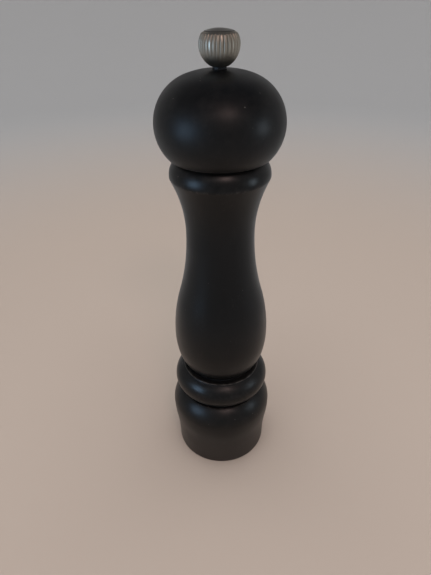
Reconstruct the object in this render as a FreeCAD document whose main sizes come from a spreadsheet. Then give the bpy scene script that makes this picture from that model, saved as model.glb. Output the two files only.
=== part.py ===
import FreeCAD, Part
import math
import operator
import os

import Sketcher

# A turned pepper mill with a steel grinder, in millimetres.
# The axis of the mill is Z, the foot stands on Z = 0, and each turned piece is a half-section revolved
# about that axis. Heights are stacked from the foot upward, and radii are measured from the axis.

SIZES = {
    # Base, from the foot up to the lower groove
    "foot_inset": 2.2,
    "foot_round": 0.7,
    "foot_height": 2.8,
    "base_radius": 27.5,
    "base_rise": 27.5,
    "base_bulge_radius": 57.0,
    "shoulder_inset": 6.2,
    "shoulder_height": 8.3,
    "shoulder_side_radius": 11.9,
    "ledge_height": 0.3,
    # Ring bead and its two grooves
    "lower_groove_radius": 19.7,
    "lower_groove_width": 4.1,
    "ring_radius": 25.4,
    "ring_lower_height": 6.753,
    "ring_upper_height": 7.795,
    "upper_ledge_radius": 19.7,
    "upper_groove_radius": 17.0,
    "upper_groove_width": 0.4,
    # Belly, waist and collar
    "belly_radius": 24.1,
    "belly_rise": 21.9,
    "belly_side_radius": 50.0,
    "belly_side_angle": 13.0,
    "belly_shoulder_radius": 89.0,
    "waist_radius": 15.9,
    "waist_rise": 58.0,
    "collar_radius": 22.1,
    "collar_rise": 26.95,
    "collar_lip_radius": 1.5,
    "collar_top_radius": 18.3,
    "collar_height": 7.65,
    # Head
    "head_gap": 0.3,
    "head_radius": 26.9,
    "head_edge_radius": 21.6,
    "head_rise": 13.1,
    "head_crown": 20.1,
    "head_dome_rise": 0.85,
    "tenon_gap": 0.3,
    "tenon_length": 12.0,
    "tenon_chamfer": 0.8,
    "socket_radius": 15.0,
    "socket_clearance": 1.3,
    # Knob
    "knob_gap": 0.1,
    "neck_height": 1.0,
    "neck_wall": 0.6,
    "neck_depth": 8.6,
    "thread_clearance": 0.1,
    "knob_foot_width": 0.7,
    "knob_radius": 7.87,
    "knob_lower_height": 7.4,
    "knob_upper_height": 3.6,
    "knob_shoulder_width": 1.18,
    "knob_bevel_height": 0.65,
    "knob_rim": 0.15,
    "flute_count": 32,
    "flute_radius": 0.55,
    "flute_depth": 0.35,
    "flute_path_radius": 9.1,
    "flute_sweep": 74.0,
    "flute_drop": 0.44,
    "cap_radius": 5.6,
    "cap_seat": 0.75,
    "cap_edge": 0.1,
    "cap_dome": 0.9,
    "fit_gap": 0.02,
    # Shaft, head bush and drive plate
    "shaft_width": 5.0,
    "shaft_hole_clearance": 0.65,
    "shaft_top_clearance": 2.2,
    "tip_radius": 2.0,
    "tip_length": 17.2,
    "tip_chamfer": 0.5,
    "bush_clearance": 0.15,
    "bush_wall": 0.75,
    "bush_length": 8.0,
    "drive_clearance": 0.1,
    "drive_plate_radius": 12.0,
    "drive_screw_circle": 8.6,
    "drive_screw_count": 2,
    # Grinder
    "recess_depth": 9.0,
    "recess_gap": 0.3,
    "hopper_radius": 11.5,
    "stator_gap": 0.2,
    "stator_height": 14.0,
    "stator_wall": 2.7,
    "stator_rim": 2.0,
    "outlet_radius": 11.7,
    "band_height": 4.0,
    "band_taper": 0.4,
    "grind_gap": 0.7,
    "rotor_drop": 0.5,
    "rotor_height": 10.5,
    "rotor_wall": 1.9,
    "rotor_tooth_count": 24,
    "stator_tooth_count": 30,
    "tooth_depth": 0.6,
    "tooth_width": 1.6,
    "tooth_twist": 9.0,
    "spiral_count": 6,
    "spiral_depth": 1.1,
    "spiral_width": 3.2,
    "spiral_twist": 24.0,
    "spiral_land": 0.8,
    # Bridge, spring and fasteners of the grinder
    "bridge_thickness": 1.5,
    "bridge_hub_wall": 1.8,
    "bridge_clearance": 0.2,
    "bridge_leg_width": 4.5,
    "bridge_leg_count": 3,
    "washer_gap": 0.1,
    "washer_thickness": 0.8,
    "spring_wire": 0.9,
    "spring_turns": 5,
    "spring_clearance": 0.55,
    "spring_end_gap": 0.1,
    "spring_pocket_gap": 0.3,
    "spring_pocket_depth": 6.0,
    "stud_radius": 2.0,
    "stud_length": 4.9,
    "stud_clearance": 0.05,
    "rotor_washer_radius": 4.6,
    "rotor_washer_thickness": 1.0,
    "nut_width": 7.0,
    "nut_height": 3.2,
    "plate_spare": 0.1,
    "plate_lip": 0.5,
    "plate_edge": 0.5,
    "tab_width": 3.0,
    "tab_height": 2.4,
    "tab_thickness": 1.0,
    "tab_clearance": 0.15,
    # Countersunk wood screws
    "screw_core_radius": 1.15,
    "screw_head_radius": 2.2,
    "screw_head_rim": 0.15,
    "screw_length": 9.0,
    "screw_point": 1.8,
    "screw_wall": 1.25,
    "screw_gap": 0.05,
    "screw_count": 3,
}

OPERATIONS = {"+": operator.add, "-": operator.sub, "*": operator.mul, "/": operator.truediv}


class Size:
    """A length that carries its value together with the sheet expression that drives it."""

    def __init__(self, value, text):
        self.value = value
        self.text = text

    def joined(self, sign, other):
        """Combine this size with another size or with a plain number."""
        other = as_size(other)
        value = OPERATIONS[sign](self.value, other.value)
        return Size(value, f"({self.text} {sign} {other.text})")

    def __add__(self, other):
        return self.joined("+", other)

    def __sub__(self, other):
        return self.joined("-", other)

    def __mul__(self, other):
        return self.joined("*", other)

    def __truediv__(self, other):
        return self.joined("/", other)


def as_size(number):
    """Wrap a plain number as a size, and leave a size as it is."""
    if isinstance(number, Size):
        return number
    return Size(float(number), repr(number))


class Sheet:
    """The spreadsheet of driving dimensions, read as sizes by their names."""

    def __init__(self, doc, sizes):
        self.cells = doc.addObject("Spreadsheet::Sheet", "Sizes")
        for row, (alias, value) in enumerate(sizes.items(), start=1):
            self.cells.set(f"A{row}", alias)
            self.cells.set(f"B{row}", str(value))
            self.cells.setAlias(f"B{row}", alias)
        doc.recompute()

    def __getattr__(self, alias):
        return Size(float(self.cells.get(alias)), f"Sizes.{alias}")


class Levels:
    """Radii and heights that several pieces share, worked out from the sheet."""

    def __init__(self, mm):
        self.foot_radius = mm.base_radius - mm.foot_inset
        self.base_widest = mm.foot_height + mm.base_rise
        self.base_edge_radius = mm.base_radius - mm.shoulder_inset
        self.base_edge = self.base_widest + mm.shoulder_height
        self.ledge = self.base_edge + mm.ledge_height
        self.ring_start = self.ledge + mm.lower_groove_width
        self.ring_widest = self.ring_start + mm.ring_lower_height
        self.ring_end = self.ring_widest + mm.ring_upper_height
        self.upper_ledge = self.ring_end + mm.ledge_height
        self.belly_foot = self.upper_ledge + mm.upper_groove_width
        self.belly = self.belly_foot + mm.belly_rise
        self.waist = self.belly + mm.waist_rise
        self.collar = self.waist + mm.collar_rise
        self.body_top = self.collar + mm.collar_height

        self.head_foot = self.body_top + mm.head_gap
        self.head_widest = self.head_foot + mm.head_rise
        self.head_top = self.head_widest + mm.head_crown
        self.tenon_radius = mm.socket_radius - mm.tenon_gap
        self.tenon_foot = self.head_foot - mm.tenon_length
        screw_cone = mm.screw_head_radius - mm.screw_core_radius
        self.plate_thickness = mm.screw_head_rim + screw_cone + mm.plate_spare
        self.drive_plate_foot = self.tenon_foot - self.plate_thickness
        self.socket_floor = self.drive_plate_foot - mm.socket_clearance

        self.shaft_reach = mm.shaft_width * math.sqrt(0.5)
        self.shaft_hole_radius = self.shaft_reach + mm.shaft_hole_clearance
        self.bush_bore = mm.tip_radius + mm.bush_clearance
        self.bush_radius = self.bush_bore + mm.bush_wall
        self.bush_foot = self.head_top - mm.bush_length
        self.shaft_shoulder = self.bush_foot - mm.shaft_top_clearance

        self.neck_bore = mm.tip_radius + mm.thread_clearance
        self.neck_radius = self.neck_bore + mm.neck_wall
        self.neck_foot = self.head_top + mm.knob_gap
        self.neck_top = self.neck_foot + mm.neck_depth
        self.knob_foot = self.neck_foot + mm.neck_height
        self.knob_widest = self.knob_foot + mm.knob_lower_height
        self.knob_shoulder = self.knob_widest + mm.knob_upper_height
        self.knob_top = self.knob_shoulder + mm.knob_bevel_height
        self.cap_foot = self.knob_top - mm.cap_seat

        self.stator_radius = mm.outlet_radius + mm.stator_wall
        self.stator_top = mm.recess_depth + mm.stator_height
        self.stator_mouth = self.stator_radius - mm.stator_rim
        self.band_top = mm.recess_depth + mm.band_height
        self.throat_radius = mm.outlet_radius - mm.band_taper * mm.band_height
        self.grinder_bore = self.stator_radius + mm.stator_gap
        self.bridge_top = self.stator_top + mm.bridge_thickness
        self.bridge_bore = self.shaft_reach + mm.bridge_clearance

        self.washer_top = self.stator_top - mm.washer_gap
        self.washer_foot = self.washer_top - mm.washer_thickness
        self.spring_radius = self.shaft_reach + mm.spring_clearance + mm.spring_wire / 2
        self.pocket_radius = self.spring_radius + mm.spring_wire / 2 + mm.spring_pocket_gap
        self.rotor_foot = mm.recess_depth - mm.rotor_drop
        self.rotor_top = self.rotor_foot + mm.rotor_height
        self.rotor_top_radius = self.pocket_radius + mm.rotor_wall
        self.rotor_shoulder_radius = self.throat_radius - mm.grind_gap
        self.rotor_foot_radius = mm.outlet_radius - mm.grind_gap + mm.band_taper * mm.rotor_drop
        self.pocket_floor = self.rotor_top - mm.spring_pocket_depth

        self.rotor_washer_foot = self.rotor_foot - mm.rotor_washer_thickness
        self.nut_foot = self.rotor_washer_foot - mm.nut_height
        self.stud_hole_radius = mm.stud_radius + mm.stud_clearance

        self.plate_foot = mm.recess_depth - self.plate_thickness
        self.screw_circle = self.grinder_bore + mm.screw_core_radius + mm.screw_wall
        self.plate_radius = self.screw_circle + mm.screw_head_radius + mm.plate_edge
        self.recess_radius = self.plate_radius + mm.recess_gap


def origin_feature(body, role):
    """Plane or axis of a body's own origin."""
    for feature in body.Origin.OriginFeatures:
        if feature.Role == role:
            return feature
    raise ValueError(role)


def new_body(doc, label):
    """Empty body whose label names the piece."""
    body = doc.addObject("PartDesign::Body", label)
    body.Label = label
    return body


def new_sketch(body, name, role, height=None, turn=None):
    """Sketch on one of the body's origin planes, lifted along its normal and turned about it."""
    sketch = body.newObject("Sketcher::SketchObject", name)
    sketch.AttachmentSupport = [(origin_feature(body, role), "")]
    sketch.MapMode = "FlatFace"
    sketch.AttachmentOffset = FreeCAD.Placement(
        FreeCAD.Vector(0, 0, height.value if height else 0),
        FreeCAD.Rotation(FreeCAD.Vector(0, 0, 1), turn.value if turn else 0),
    )
    if height:
        sketch.setExpression("AttachmentOffset.Base.z", height.text)
    if turn:
        sketch.setExpression("AttachmentOffset.Rotation.Angle", turn.text)
    return sketch


ROOT_POINT = (-1, 1)
HORIZONTAL_AXIS = -1
VERTICAL_AXIS = -2
START, END, CENTRE = 1, 2, 3
AXIS_LENGTH = 1
COIL_POINTS = 400


def drive(sketch, constraint, size):
    """Add a dimension to a sketch and bind it to its sheet expression."""
    index = sketch.addConstraint(constraint)
    sketch.setExpression(f"Constraints[{index}]", size.text)


def hold_point(sketch, geometry, position, across, up):
    """Fix a point of a sketch at driven distances from the sketch's origin."""
    if across is not None:
        if across.value == 0:
            sketch.addConstraint(Sketcher.Constraint("PointOnObject", geometry, position, VERTICAL_AXIS))
        else:
            rule = Sketcher.Constraint("DistanceX", *ROOT_POINT, geometry, position, across.value)
            drive(sketch, rule, across)
    if up is not None:
        if up.value == 0:
            sketch.addConstraint(Sketcher.Constraint("PointOnObject", geometry, position, HORIZONTAL_AXIS))
        else:
            rule = Sketcher.Constraint("DistanceY", *ROOT_POINT, geometry, position, up.value)
            drive(sketch, rule, up)


def add_upright_axis(sketch, place):
    """Construction line along a sketch's vertical direction, at a driven distance from its origin."""
    foot = FreeCAD.Vector(place.value, 0, 0)
    line = sketch.addGeometry(Part.LineSegment(foot, foot + FreeCAD.Vector(0, AXIS_LENGTH, 0)), True)
    hold_point(sketch, line, START, place, as_size(0))
    sketch.addConstraint(Sketcher.Constraint("Vertical", line))
    sketch.addConstraint(Sketcher.Constraint("DistanceY", line, START, line, END, AXIS_LENGTH))


class Outline:
    """Closed half-section of a turned piece: corners driven by sizes, joined by lines and arcs.

    Corners are (radius, height) pairs. An arc that runs between two corners can stand upright at a
    corner, which puts its centre level with that corner, or run smoothly into the next arc.
    """

    def __init__(self, body, name, corner, axis_radius=None):
        self.body = body
        self.sketch = new_sketch(body, name, "XZ_Plane")
        self.axis = "V_Axis"
        if axis_radius:
            self.axis = "Axis0"
            add_upright_axis(self.sketch, axis_radius)
        self.first = tuple(as_size(size) for size in corner)
        self.corner = self.first
        self.first_end = None
        self.last_end = None
        self.smooth = False

    def here(self):
        """Values of the present corner."""
        return self.corner[0].value, self.corner[1].value

    def join(self, index, start, end):
        """Tie a new edge to the edge before it."""
        if self.last_end is None:
            self.first_end = (index, start)
            hold_point(self.sketch, index, start, *self.first)
        else:
            kind = "Tangent" if self.smooth else "Coincident"
            self.sketch.addConstraint(Sketcher.Constraint(kind, *self.last_end, index, start))
        self.last_end = (index, end)
        self.smooth = False

    def add_line(self, radius, height):
        """Straight edge to a driven corner."""
        target = (as_size(radius), as_size(height))
        start = FreeCAD.Vector(*self.here(), 0)
        end = FreeCAD.Vector(target[0].value, target[1].value, 0)
        index = self.sketch.addGeometry(Part.LineSegment(start, end))
        self.join(index, START, END)
        hold_point(self.sketch, index, END, *target)
        self.corner = target

    def add_arc(self, start, end, centre):
        """Arc of under a half circle, known by its ends and its centre, with nothing driven yet."""
        first = math.atan2(start[1] - centre[1], start[0] - centre[0])
        last = math.atan2(end[1] - centre[1], end[0] - centre[0])
        forward = math.remainder(last - first, math.tau) > 0
        circle = Part.Circle(
            FreeCAD.Vector(*centre, 0),
            FreeCAD.Vector(0, 0, 1),
            math.dist(start, centre),
        )
        angles = (first, last) if forward else (last, first)
        index = self.sketch.addGeometry(Part.ArcOfCircle(circle, *angles))
        near, far = (START, END) if forward else (END, START)
        self.join(index, near, far)
        return index, near, far

    def stand_upright(self, index, position):
        """Make an arc run straight up at one of its ends."""
        self.sketch.addConstraint(Sketcher.Constraint("Horizontal", index, CENTRE, index, position))

    def lie_flat(self, index, position):
        """Make an arc run level at one of its ends."""
        self.sketch.addConstraint(Sketcher.Constraint("Vertical", index, CENTRE, index, position))

    def close_corner(self, index, position, target):
        """End an arc on a driven corner."""
        hold_point(self.sketch, index, position, *target)
        self.corner = target

    def set_radius(self, index, size):
        """Drive an arc's radius."""
        drive(self.sketch, Sketcher.Constraint("Radius", index, size.value), size)

    def add_bow(self, radius, height, upright_at_end):
        """Arc to a driven corner that stands upright at one end."""
        target = (as_size(radius), as_size(height))
        start = self.here()
        end = (target[0].value, target[1].value)
        upright, other = (end, start) if upright_at_end else (start, end)
        across = other[0] - upright[0]
        up = other[1] - upright[1]
        centre = (upright[0] + (across * across + up * up) / (2 * across), upright[1])
        index, near, far = self.add_arc(start, end, centre)
        self.stand_upright(index, far if upright_at_end else near)
        self.close_corner(index, far, target)

    def add_wave(self, radius, height, bulge):
        """Two arcs in an S to a driven corner, upright at both ends; the wider end has the given radius."""
        target = (as_size(radius), as_size(height))
        start = self.here()
        end = (target[0].value, target[1].value)
        across = end[0] - start[0]
        up = end[1] - start[1]
        both = (across * across + up * up) / (2 * abs(across))
        widening = across > 0
        first_radius = both - bulge.value if widening else bulge.value
        side = 1 if widening else -1
        first_centre = (start[0] + side * first_radius, start[1])
        last_centre = (end[0] - side * (both - first_radius), end[1])
        share = first_radius / both
        middle = tuple(a + (b - a) * share for a, b in zip(first_centre, last_centre))
        index, near, far = self.add_arc(start, middle, first_centre)
        self.stand_upright(index, near)
        if not widening:
            self.set_radius(index, bulge)
        self.smooth = True
        index, near, far = self.add_arc(middle, end, last_centre)
        self.stand_upright(index, far)
        if widening:
            self.set_radius(index, bulge)
        self.close_corner(index, far, target)

    def add_shoulder(self, radius, height, side_radius):
        """Two arcs over a shoulder: upright at the start with a driven radius, level at the driven end."""
        target = (as_size(radius), as_size(height))
        start = self.here()
        end = (target[0].value, target[1].value)
        side = side_radius.value
        first_centre = (start[0] - side, start[1])
        across = end[0] - first_centre[0]
        up = end[1] - start[1]
        top = (across * across + up * up - side * side) / (2 * (up - side))
        last_centre = (end[0], end[1] - top)
        reach = (last_centre[0] - first_centre[0], last_centre[1] - first_centre[1])
        scale = side / math.hypot(*reach) * math.copysign(1, side - top)
        middle = (first_centre[0] + reach[0] * scale, first_centre[1] + reach[1] * scale)
        index, near, far = self.add_arc(start, middle, first_centre)
        self.stand_upright(index, near)
        self.set_radius(index, side_radius)
        self.smooth = True
        index, near, far = self.add_arc(middle, end, last_centre)
        self.lie_flat(index, far)
        self.close_corner(index, far, target)

    def add_round(self, radius, height, arc_radius, centre):
        """Arc of a driven radius to a driven corner, bulging away from a rough centre."""
        target = (as_size(radius), as_size(height))
        end = (target[0].value, target[1].value)
        index, near, far = self.add_arc(self.here(), end, centre)
        self.set_radius(index, arc_radius)
        self.close_corner(index, far, target)

    def add_swell(self, radius, height, side_radius, side_angle):
        """Two arcs up to an upright corner: the upper one spans a driven angle at a driven radius."""
        target = (as_size(radius), as_size(height))
        start = self.here()
        end = (target[0].value, target[1].value)
        angle = math.radians(side_angle.value)
        normal = (math.cos(angle), -math.sin(angle))
        side_centre = (end[0] - side_radius.value, end[1])
        middle = tuple(c + side_radius.value * n for c, n in zip(side_centre, normal))
        reach = (middle[0] - start[0], middle[1] - start[1])
        along = reach[0] * normal[0] + reach[1] * normal[1]
        tight = (reach[0] ** 2 + reach[1] ** 2) / (2 * along)
        tight_centre = tuple(m - tight * n for m, n in zip(middle, normal))
        self.add_arc(start, middle, tight_centre)
        self.smooth = True
        index, near, far = self.add_arc(middle, end, side_centre)
        self.stand_upright(index, far)
        self.set_radius(index, side_radius)
        drive(self.sketch, Sketcher.Constraint("Angle", index, angle), side_angle)
        self.close_corner(index, far, target)

    def close(self):
        """Straight edge back to the first corner."""
        start = FreeCAD.Vector(*self.here(), 0)
        end = FreeCAD.Vector(self.first[0].value, self.first[1].value, 0)
        index = self.sketch.addGeometry(Part.LineSegment(start, end))
        self.join(index, START, END)
        self.sketch.addConstraint(Sketcher.Constraint("Coincident", index, END, *self.first_end))

    def turn(self, kind="Revolution"):
        """Close the outline and revolve it, as material or as a cut."""
        self.close()
        feature = self.body.newObject(f"PartDesign::{kind}", f"{self.sketch.Name}_turned")
        feature.Profile = self.sketch
        feature.ReferenceAxis = (self.sketch, [self.axis])
        feature.Angle = 360
        self.body.Tip = feature
        return feature


def turned_block(body, name, inner, outer, foot, top, axis_radius=None):
    """Outline of a plain ring or cylinder between two radii and two heights."""
    outline = Outline(body, name, (inner, foot), axis_radius)
    outline.add_line(outer, foot)
    outline.add_line(outer, top)
    outline.add_line(inner, top)
    return outline


def repeat_round(body, feature, count):
    """Repeat a feature around the mill's axis."""
    pattern = body.newObject("PartDesign::PolarPattern", f"{feature.Name}_row")
    pattern.Originals = [feature]
    pattern.Axis = (origin_feature(body, "Z_Axis"), [""])
    pattern.Angle = 360
    pattern.Occurrences = int(count.value)
    pattern.setExpression("Occurrences", count.text)
    body.Tip = pattern
    return pattern


def add_polygon(sketch, corners):
    """Closed polygon through driven corners."""
    corners = [(as_size(x), as_size(y)) for x, y in corners]
    points = [FreeCAD.Vector(x.value, y.value, 0) for x, y in corners]
    edges = []
    for start, end in zip(points, points[1:] + points[:1]):
        edges.append(sketch.addGeometry(Part.LineSegment(start, end)))
    for edge, following in zip(edges, edges[1:] + edges[:1]):
        sketch.addConstraint(Sketcher.Constraint("Coincident", edge, END, following, START))
    for edge, corner in zip(edges, corners):
        hold_point(sketch, edge, START, *corner)


def add_square(sketch, width):
    """Square about the sketch's origin."""
    half = width / 2
    minus = as_size(0) - half
    add_polygon(sketch, [(half, half), (minus, half), (minus, minus), (half, minus)])


def add_circle(sketch, radius):
    """Circle about the sketch's origin."""
    circle = Part.Circle(FreeCAD.Vector(0, 0, 0), FreeCAD.Vector(0, 0, 1), radius.value)
    index = sketch.addGeometry(circle)
    sketch.addConstraint(Sketcher.Constraint("Coincident", index, CENTRE, *ROOT_POINT))
    drive(sketch, Sketcher.Constraint("Radius", index, radius.value), radius)


def pad(body, sketch, length):
    """Extrude a sketch upward."""
    feature = body.newObject("PartDesign::Pad", f"{sketch.Name}_pad")
    feature.Profile = sketch
    feature.Length = length.value
    feature.setExpression("Length", length.text)
    body.Tip = feature
    return feature


def drill(body, name, circle, radius, foot, top, count):
    """Row of upright holes around the axis."""
    hole = turned_block(body, name, circle, circle + radius, foot, top, axis_radius=circle).turn("Groove")
    repeat_round(body, hole, count)


def countersink(body, name, mm, circle, foot, top, count):
    """Row of screw holes through a plate, with their wide ends at the plate's lower face."""
    hole_radius = mm.screw_core_radius + mm.screw_gap
    head_radius = mm.screw_head_radius + mm.screw_gap
    rim_top = foot + mm.screw_head_rim
    outline = Outline(body, name, (circle, foot), axis_radius=circle)
    outline.add_line(circle + head_radius, foot)
    outline.add_line(circle + head_radius, rim_top)
    outline.add_line(circle + hole_radius, rim_top + head_radius - hole_radius)
    outline.add_line(circle + hole_radius, top)
    outline.add_line(circle, top)
    repeat_round(body, outline.turn("Groove"), count)


def make_body(doc, mm, at):
    """Wooden body: base, ring, belly, waist and collar outside; recess, grinder bore and hopper inside."""
    body = new_body(doc, "body")
    outline = Outline(body, "body_section", (at.foot_radius - mm.foot_round, 0))
    round_centre = (at.foot_radius.value - mm.foot_round.value, mm.foot_round.value)
    outline.add_round(at.foot_radius, mm.foot_round, mm.foot_round, round_centre)
    outline.add_line(at.foot_radius, mm.foot_height)
    outline.add_wave(mm.base_radius, at.base_widest, mm.base_bulge_radius)
    outline.add_shoulder(at.base_edge_radius, at.base_edge, mm.shoulder_side_radius)
    outline.add_line(at.base_edge_radius, at.ledge)
    outline.add_line(mm.lower_groove_radius, at.ledge)
    outline.add_line(mm.lower_groove_radius, at.ring_start)
    outline.add_bow(mm.ring_radius, at.ring_widest, upright_at_end=True)
    outline.add_bow(mm.upper_ledge_radius, at.ring_end, upright_at_end=False)
    outline.add_line(mm.upper_ledge_radius, at.upper_ledge)
    outline.add_line(mm.upper_groove_radius, at.upper_ledge)
    outline.add_line(mm.upper_groove_radius, at.belly_foot)
    outline.add_swell(mm.belly_radius, at.belly, mm.belly_side_radius, mm.belly_side_angle)
    outline.add_wave(mm.waist_radius, at.waist, mm.belly_shoulder_radius)
    outline.add_wave(mm.collar_radius, at.collar, mm.collar_lip_radius)
    outline.add_bow(mm.collar_top_radius, at.body_top, upright_at_end=False)
    outline.add_line(mm.socket_radius, at.body_top)
    outline.add_line(mm.socket_radius, at.socket_floor)
    outline.add_line(mm.hopper_radius, at.socket_floor)
    outline.add_line(mm.hopper_radius, at.bridge_top)
    outline.add_line(at.grinder_bore, at.bridge_top)
    outline.add_line(at.grinder_bore, mm.recess_depth)
    outline.add_line(at.recess_radius, mm.recess_depth)
    outline.add_line(at.recess_radius, 0)
    outline.turn()
    pilot = mm.screw_core_radius + mm.screw_gap
    pilot_top = at.plate_foot + mm.screw_length + mm.screw_gap
    drill(body, "screw_pilots", at.screw_circle, pilot, mm.recess_depth, pilot_top, mm.screw_count)
    return body


def make_head(doc, mm, at):
    """Wooden head: a flattened ball with a tenon below and a stepped hole for the shaft."""
    body = new_body(doc, "head")
    side_radius = mm.head_crown - mm.head_dome_rise
    outline = Outline(body, "head_section", (at.shaft_hole_radius, at.tenon_foot))
    outline.add_line(at.tenon_radius - mm.tenon_chamfer, at.tenon_foot)
    outline.add_line(at.tenon_radius, at.tenon_foot + mm.tenon_chamfer)
    outline.add_line(at.tenon_radius, at.head_foot)
    outline.add_line(mm.head_edge_radius, at.head_foot)
    outline.add_bow(mm.head_radius, at.head_widest, upright_at_end=True)
    outline.add_shoulder(at.bush_radius, at.head_top, side_radius)
    outline.add_line(at.bush_radius, at.bush_foot)
    outline.add_line(at.shaft_hole_radius, at.bush_foot)
    outline.turn()
    pilot = mm.screw_core_radius + mm.screw_gap
    pilot_top = at.drive_plate_foot + mm.screw_length + mm.screw_gap
    count = mm.drive_screw_count
    drill(body, "plate_pilots", mm.drive_screw_circle, pilot, at.tenon_foot, pilot_top, count)
    return body


def make_head_bush(doc, mm, at):
    """Steel sleeve in the top of the head."""
    body = new_body(doc, "head_bush")
    outer = at.bush_radius - mm.fit_gap
    turned_block(body, "bush_section", at.bush_bore, outer, at.bush_foot, at.head_top).turn()
    return body


def make_knob(doc, mm, at):
    """Fluted steel ball with a bore for its bush, a bevelled rim and a seat for its cap."""
    body = new_body(doc, "knob")
    bore = at.neck_radius + mm.fit_gap
    bore_top = at.neck_top + mm.neck_wall
    seat_radius = mm.cap_radius + mm.fit_gap
    outline = Outline(body, "knob_section", (bore, at.knob_foot))
    outline.add_line(bore + mm.knob_foot_width, at.knob_foot)
    outline.add_bow(mm.knob_radius, at.knob_widest, upright_at_end=True)
    outline.add_bow(mm.cap_radius + mm.knob_shoulder_width, at.knob_shoulder, upright_at_end=False)
    outline.add_line(mm.cap_radius + mm.knob_rim, at.knob_top)
    outline.add_line(seat_radius, at.knob_top)
    outline.add_line(seat_radius, at.cap_foot)
    outline.add_line(0, at.cap_foot)
    outline.add_line(0, bore_top)
    outline.add_line(bore, bore_top)
    outline.turn()
    add_flutes(body, mm, at)
    return body


def add_flutes(body, mm, at):
    """Row of flutes that fade out below and run out through the rim, cut on an arc wider than the ball."""
    sketch = new_sketch(body, "flute_cutter", "XY_Plane", at.knob_widest - mm.flute_drop)
    cutter_place = mm.knob_radius + mm.flute_radius - mm.flute_depth
    add_upright_axis(sketch, cutter_place - mm.flute_path_radius)
    centre = FreeCAD.Vector(cutter_place.value, 0, 0)
    cutter = sketch.addGeometry(Part.Circle(centre, FreeCAD.Vector(0, 0, 1), mm.flute_radius.value))
    hold_point(sketch, cutter, CENTRE, cutter_place, as_size(0))
    drive(sketch, Sketcher.Constraint("Radius", cutter, mm.flute_radius.value), mm.flute_radius)
    flute = body.newObject("PartDesign::Groove", "flute")
    flute.Profile = sketch
    flute.ReferenceAxis = (sketch, ["Axis0"])
    flute.Midplane = True
    flute.Angle = mm.flute_sweep.value
    flute.setExpression("Angle", mm.flute_sweep.text)
    body.Tip = flute
    repeat_round(body, flute, mm.flute_count)


def make_knob_cap(doc, mm, at):
    """Domed steel disc in the top of the knob."""
    body = new_body(doc, "knob_cap")
    edge_top = at.knob_top + mm.cap_edge
    dome_top = edge_top + mm.cap_dome
    dome_radius = (mm.cap_radius * mm.cap_radius / mm.cap_dome + mm.cap_dome) / 2
    outline = Outline(body, "cap_section", (0, at.cap_foot))
    outline.add_line(mm.cap_radius, at.cap_foot)
    outline.add_line(mm.cap_radius, edge_top)
    outline.add_round(0, dome_top, dome_radius, (0, dome_top.value - dome_radius.value))
    outline.turn()
    return body


def make_knob_bush(doc, mm, at):
    """Threaded bush in the knob; its lower end is the neck that stands on the head."""
    body = new_body(doc, "knob_bush")
    turned_block(body, "neck_section", at.neck_bore, at.neck_radius, at.neck_foot, at.neck_top).turn()
    return body


def make_drive_shaft(doc, mm, at):
    """Square shaft with a round threaded tip above and a round threaded stud below."""
    body = new_body(doc, "drive_shaft")
    sketch = new_sketch(body, "shaft_square", "XY_Plane", at.rotor_foot)
    add_square(sketch, mm.shaft_width)
    pad(body, sketch, at.shaft_shoulder - at.rotor_foot)
    tip_top = at.shaft_shoulder + mm.tip_length
    tip = Outline(body, "shaft_tip", (0, at.shaft_shoulder))
    tip.add_line(mm.tip_radius, at.shaft_shoulder)
    tip.add_line(mm.tip_radius, tip_top - mm.tip_chamfer)
    tip.add_line(mm.tip_radius - mm.tip_chamfer, tip_top)
    tip.add_line(0, tip_top)
    tip.turn()
    stud_foot = at.rotor_foot - mm.stud_length
    stud = Outline(body, "shaft_stud", (0, stud_foot))
    stud.add_line(mm.stud_radius - mm.tip_chamfer, stud_foot)
    stud.add_line(mm.stud_radius, stud_foot + mm.tip_chamfer)
    stud.add_line(mm.stud_radius, at.rotor_foot)
    stud.add_line(0, at.rotor_foot)
    stud.turn()
    return body


def square_holed_disc(doc, label, radius, hole, foot, thickness):
    """Flat disc with a square hole for the shaft."""
    body = new_body(doc, label)
    sketch = new_sketch(body, f"{label}_outline", "XY_Plane", foot)
    add_circle(sketch, radius)
    add_square(sketch, hole)
    pad(body, sketch, thickness)
    return body


def make_drive_plate(doc, mm, at):
    """Steel disc under the tenon; its square hole turns the shaft."""
    hole = mm.shaft_width + mm.drive_clearance * 2
    body = square_holed_disc(
        doc, "drive_plate", mm.drive_plate_radius, hole, at.drive_plate_foot, at.plate_thickness
    )
    countersink(
        body,
        "plate_holes",
        mm,
        mm.drive_screw_circle,
        at.drive_plate_foot,
        at.tenon_foot,
        mm.drive_screw_count,
    )
    return body


def make_screws(doc, label, mm, circle, foot, count):
    """Row of countersunk wood screws that point upward, with their heads flush in a plate's lower face."""
    body = new_body(doc, label)
    rim_top = foot + mm.screw_head_rim
    cone_top = rim_top + mm.screw_head_radius - mm.screw_core_radius
    tip = foot + mm.screw_length
    outline = Outline(body, f"{label}_section", (circle, foot), axis_radius=circle)
    outline.add_line(circle + mm.screw_head_radius, foot)
    outline.add_line(circle + mm.screw_head_radius, rim_top)
    outline.add_line(circle + mm.screw_core_radius, cone_top)
    outline.add_line(circle + mm.screw_core_radius, tip - mm.screw_point)
    outline.add_line(circle, tip)
    repeat_round(body, outline.turn(), count)
    return body


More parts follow.
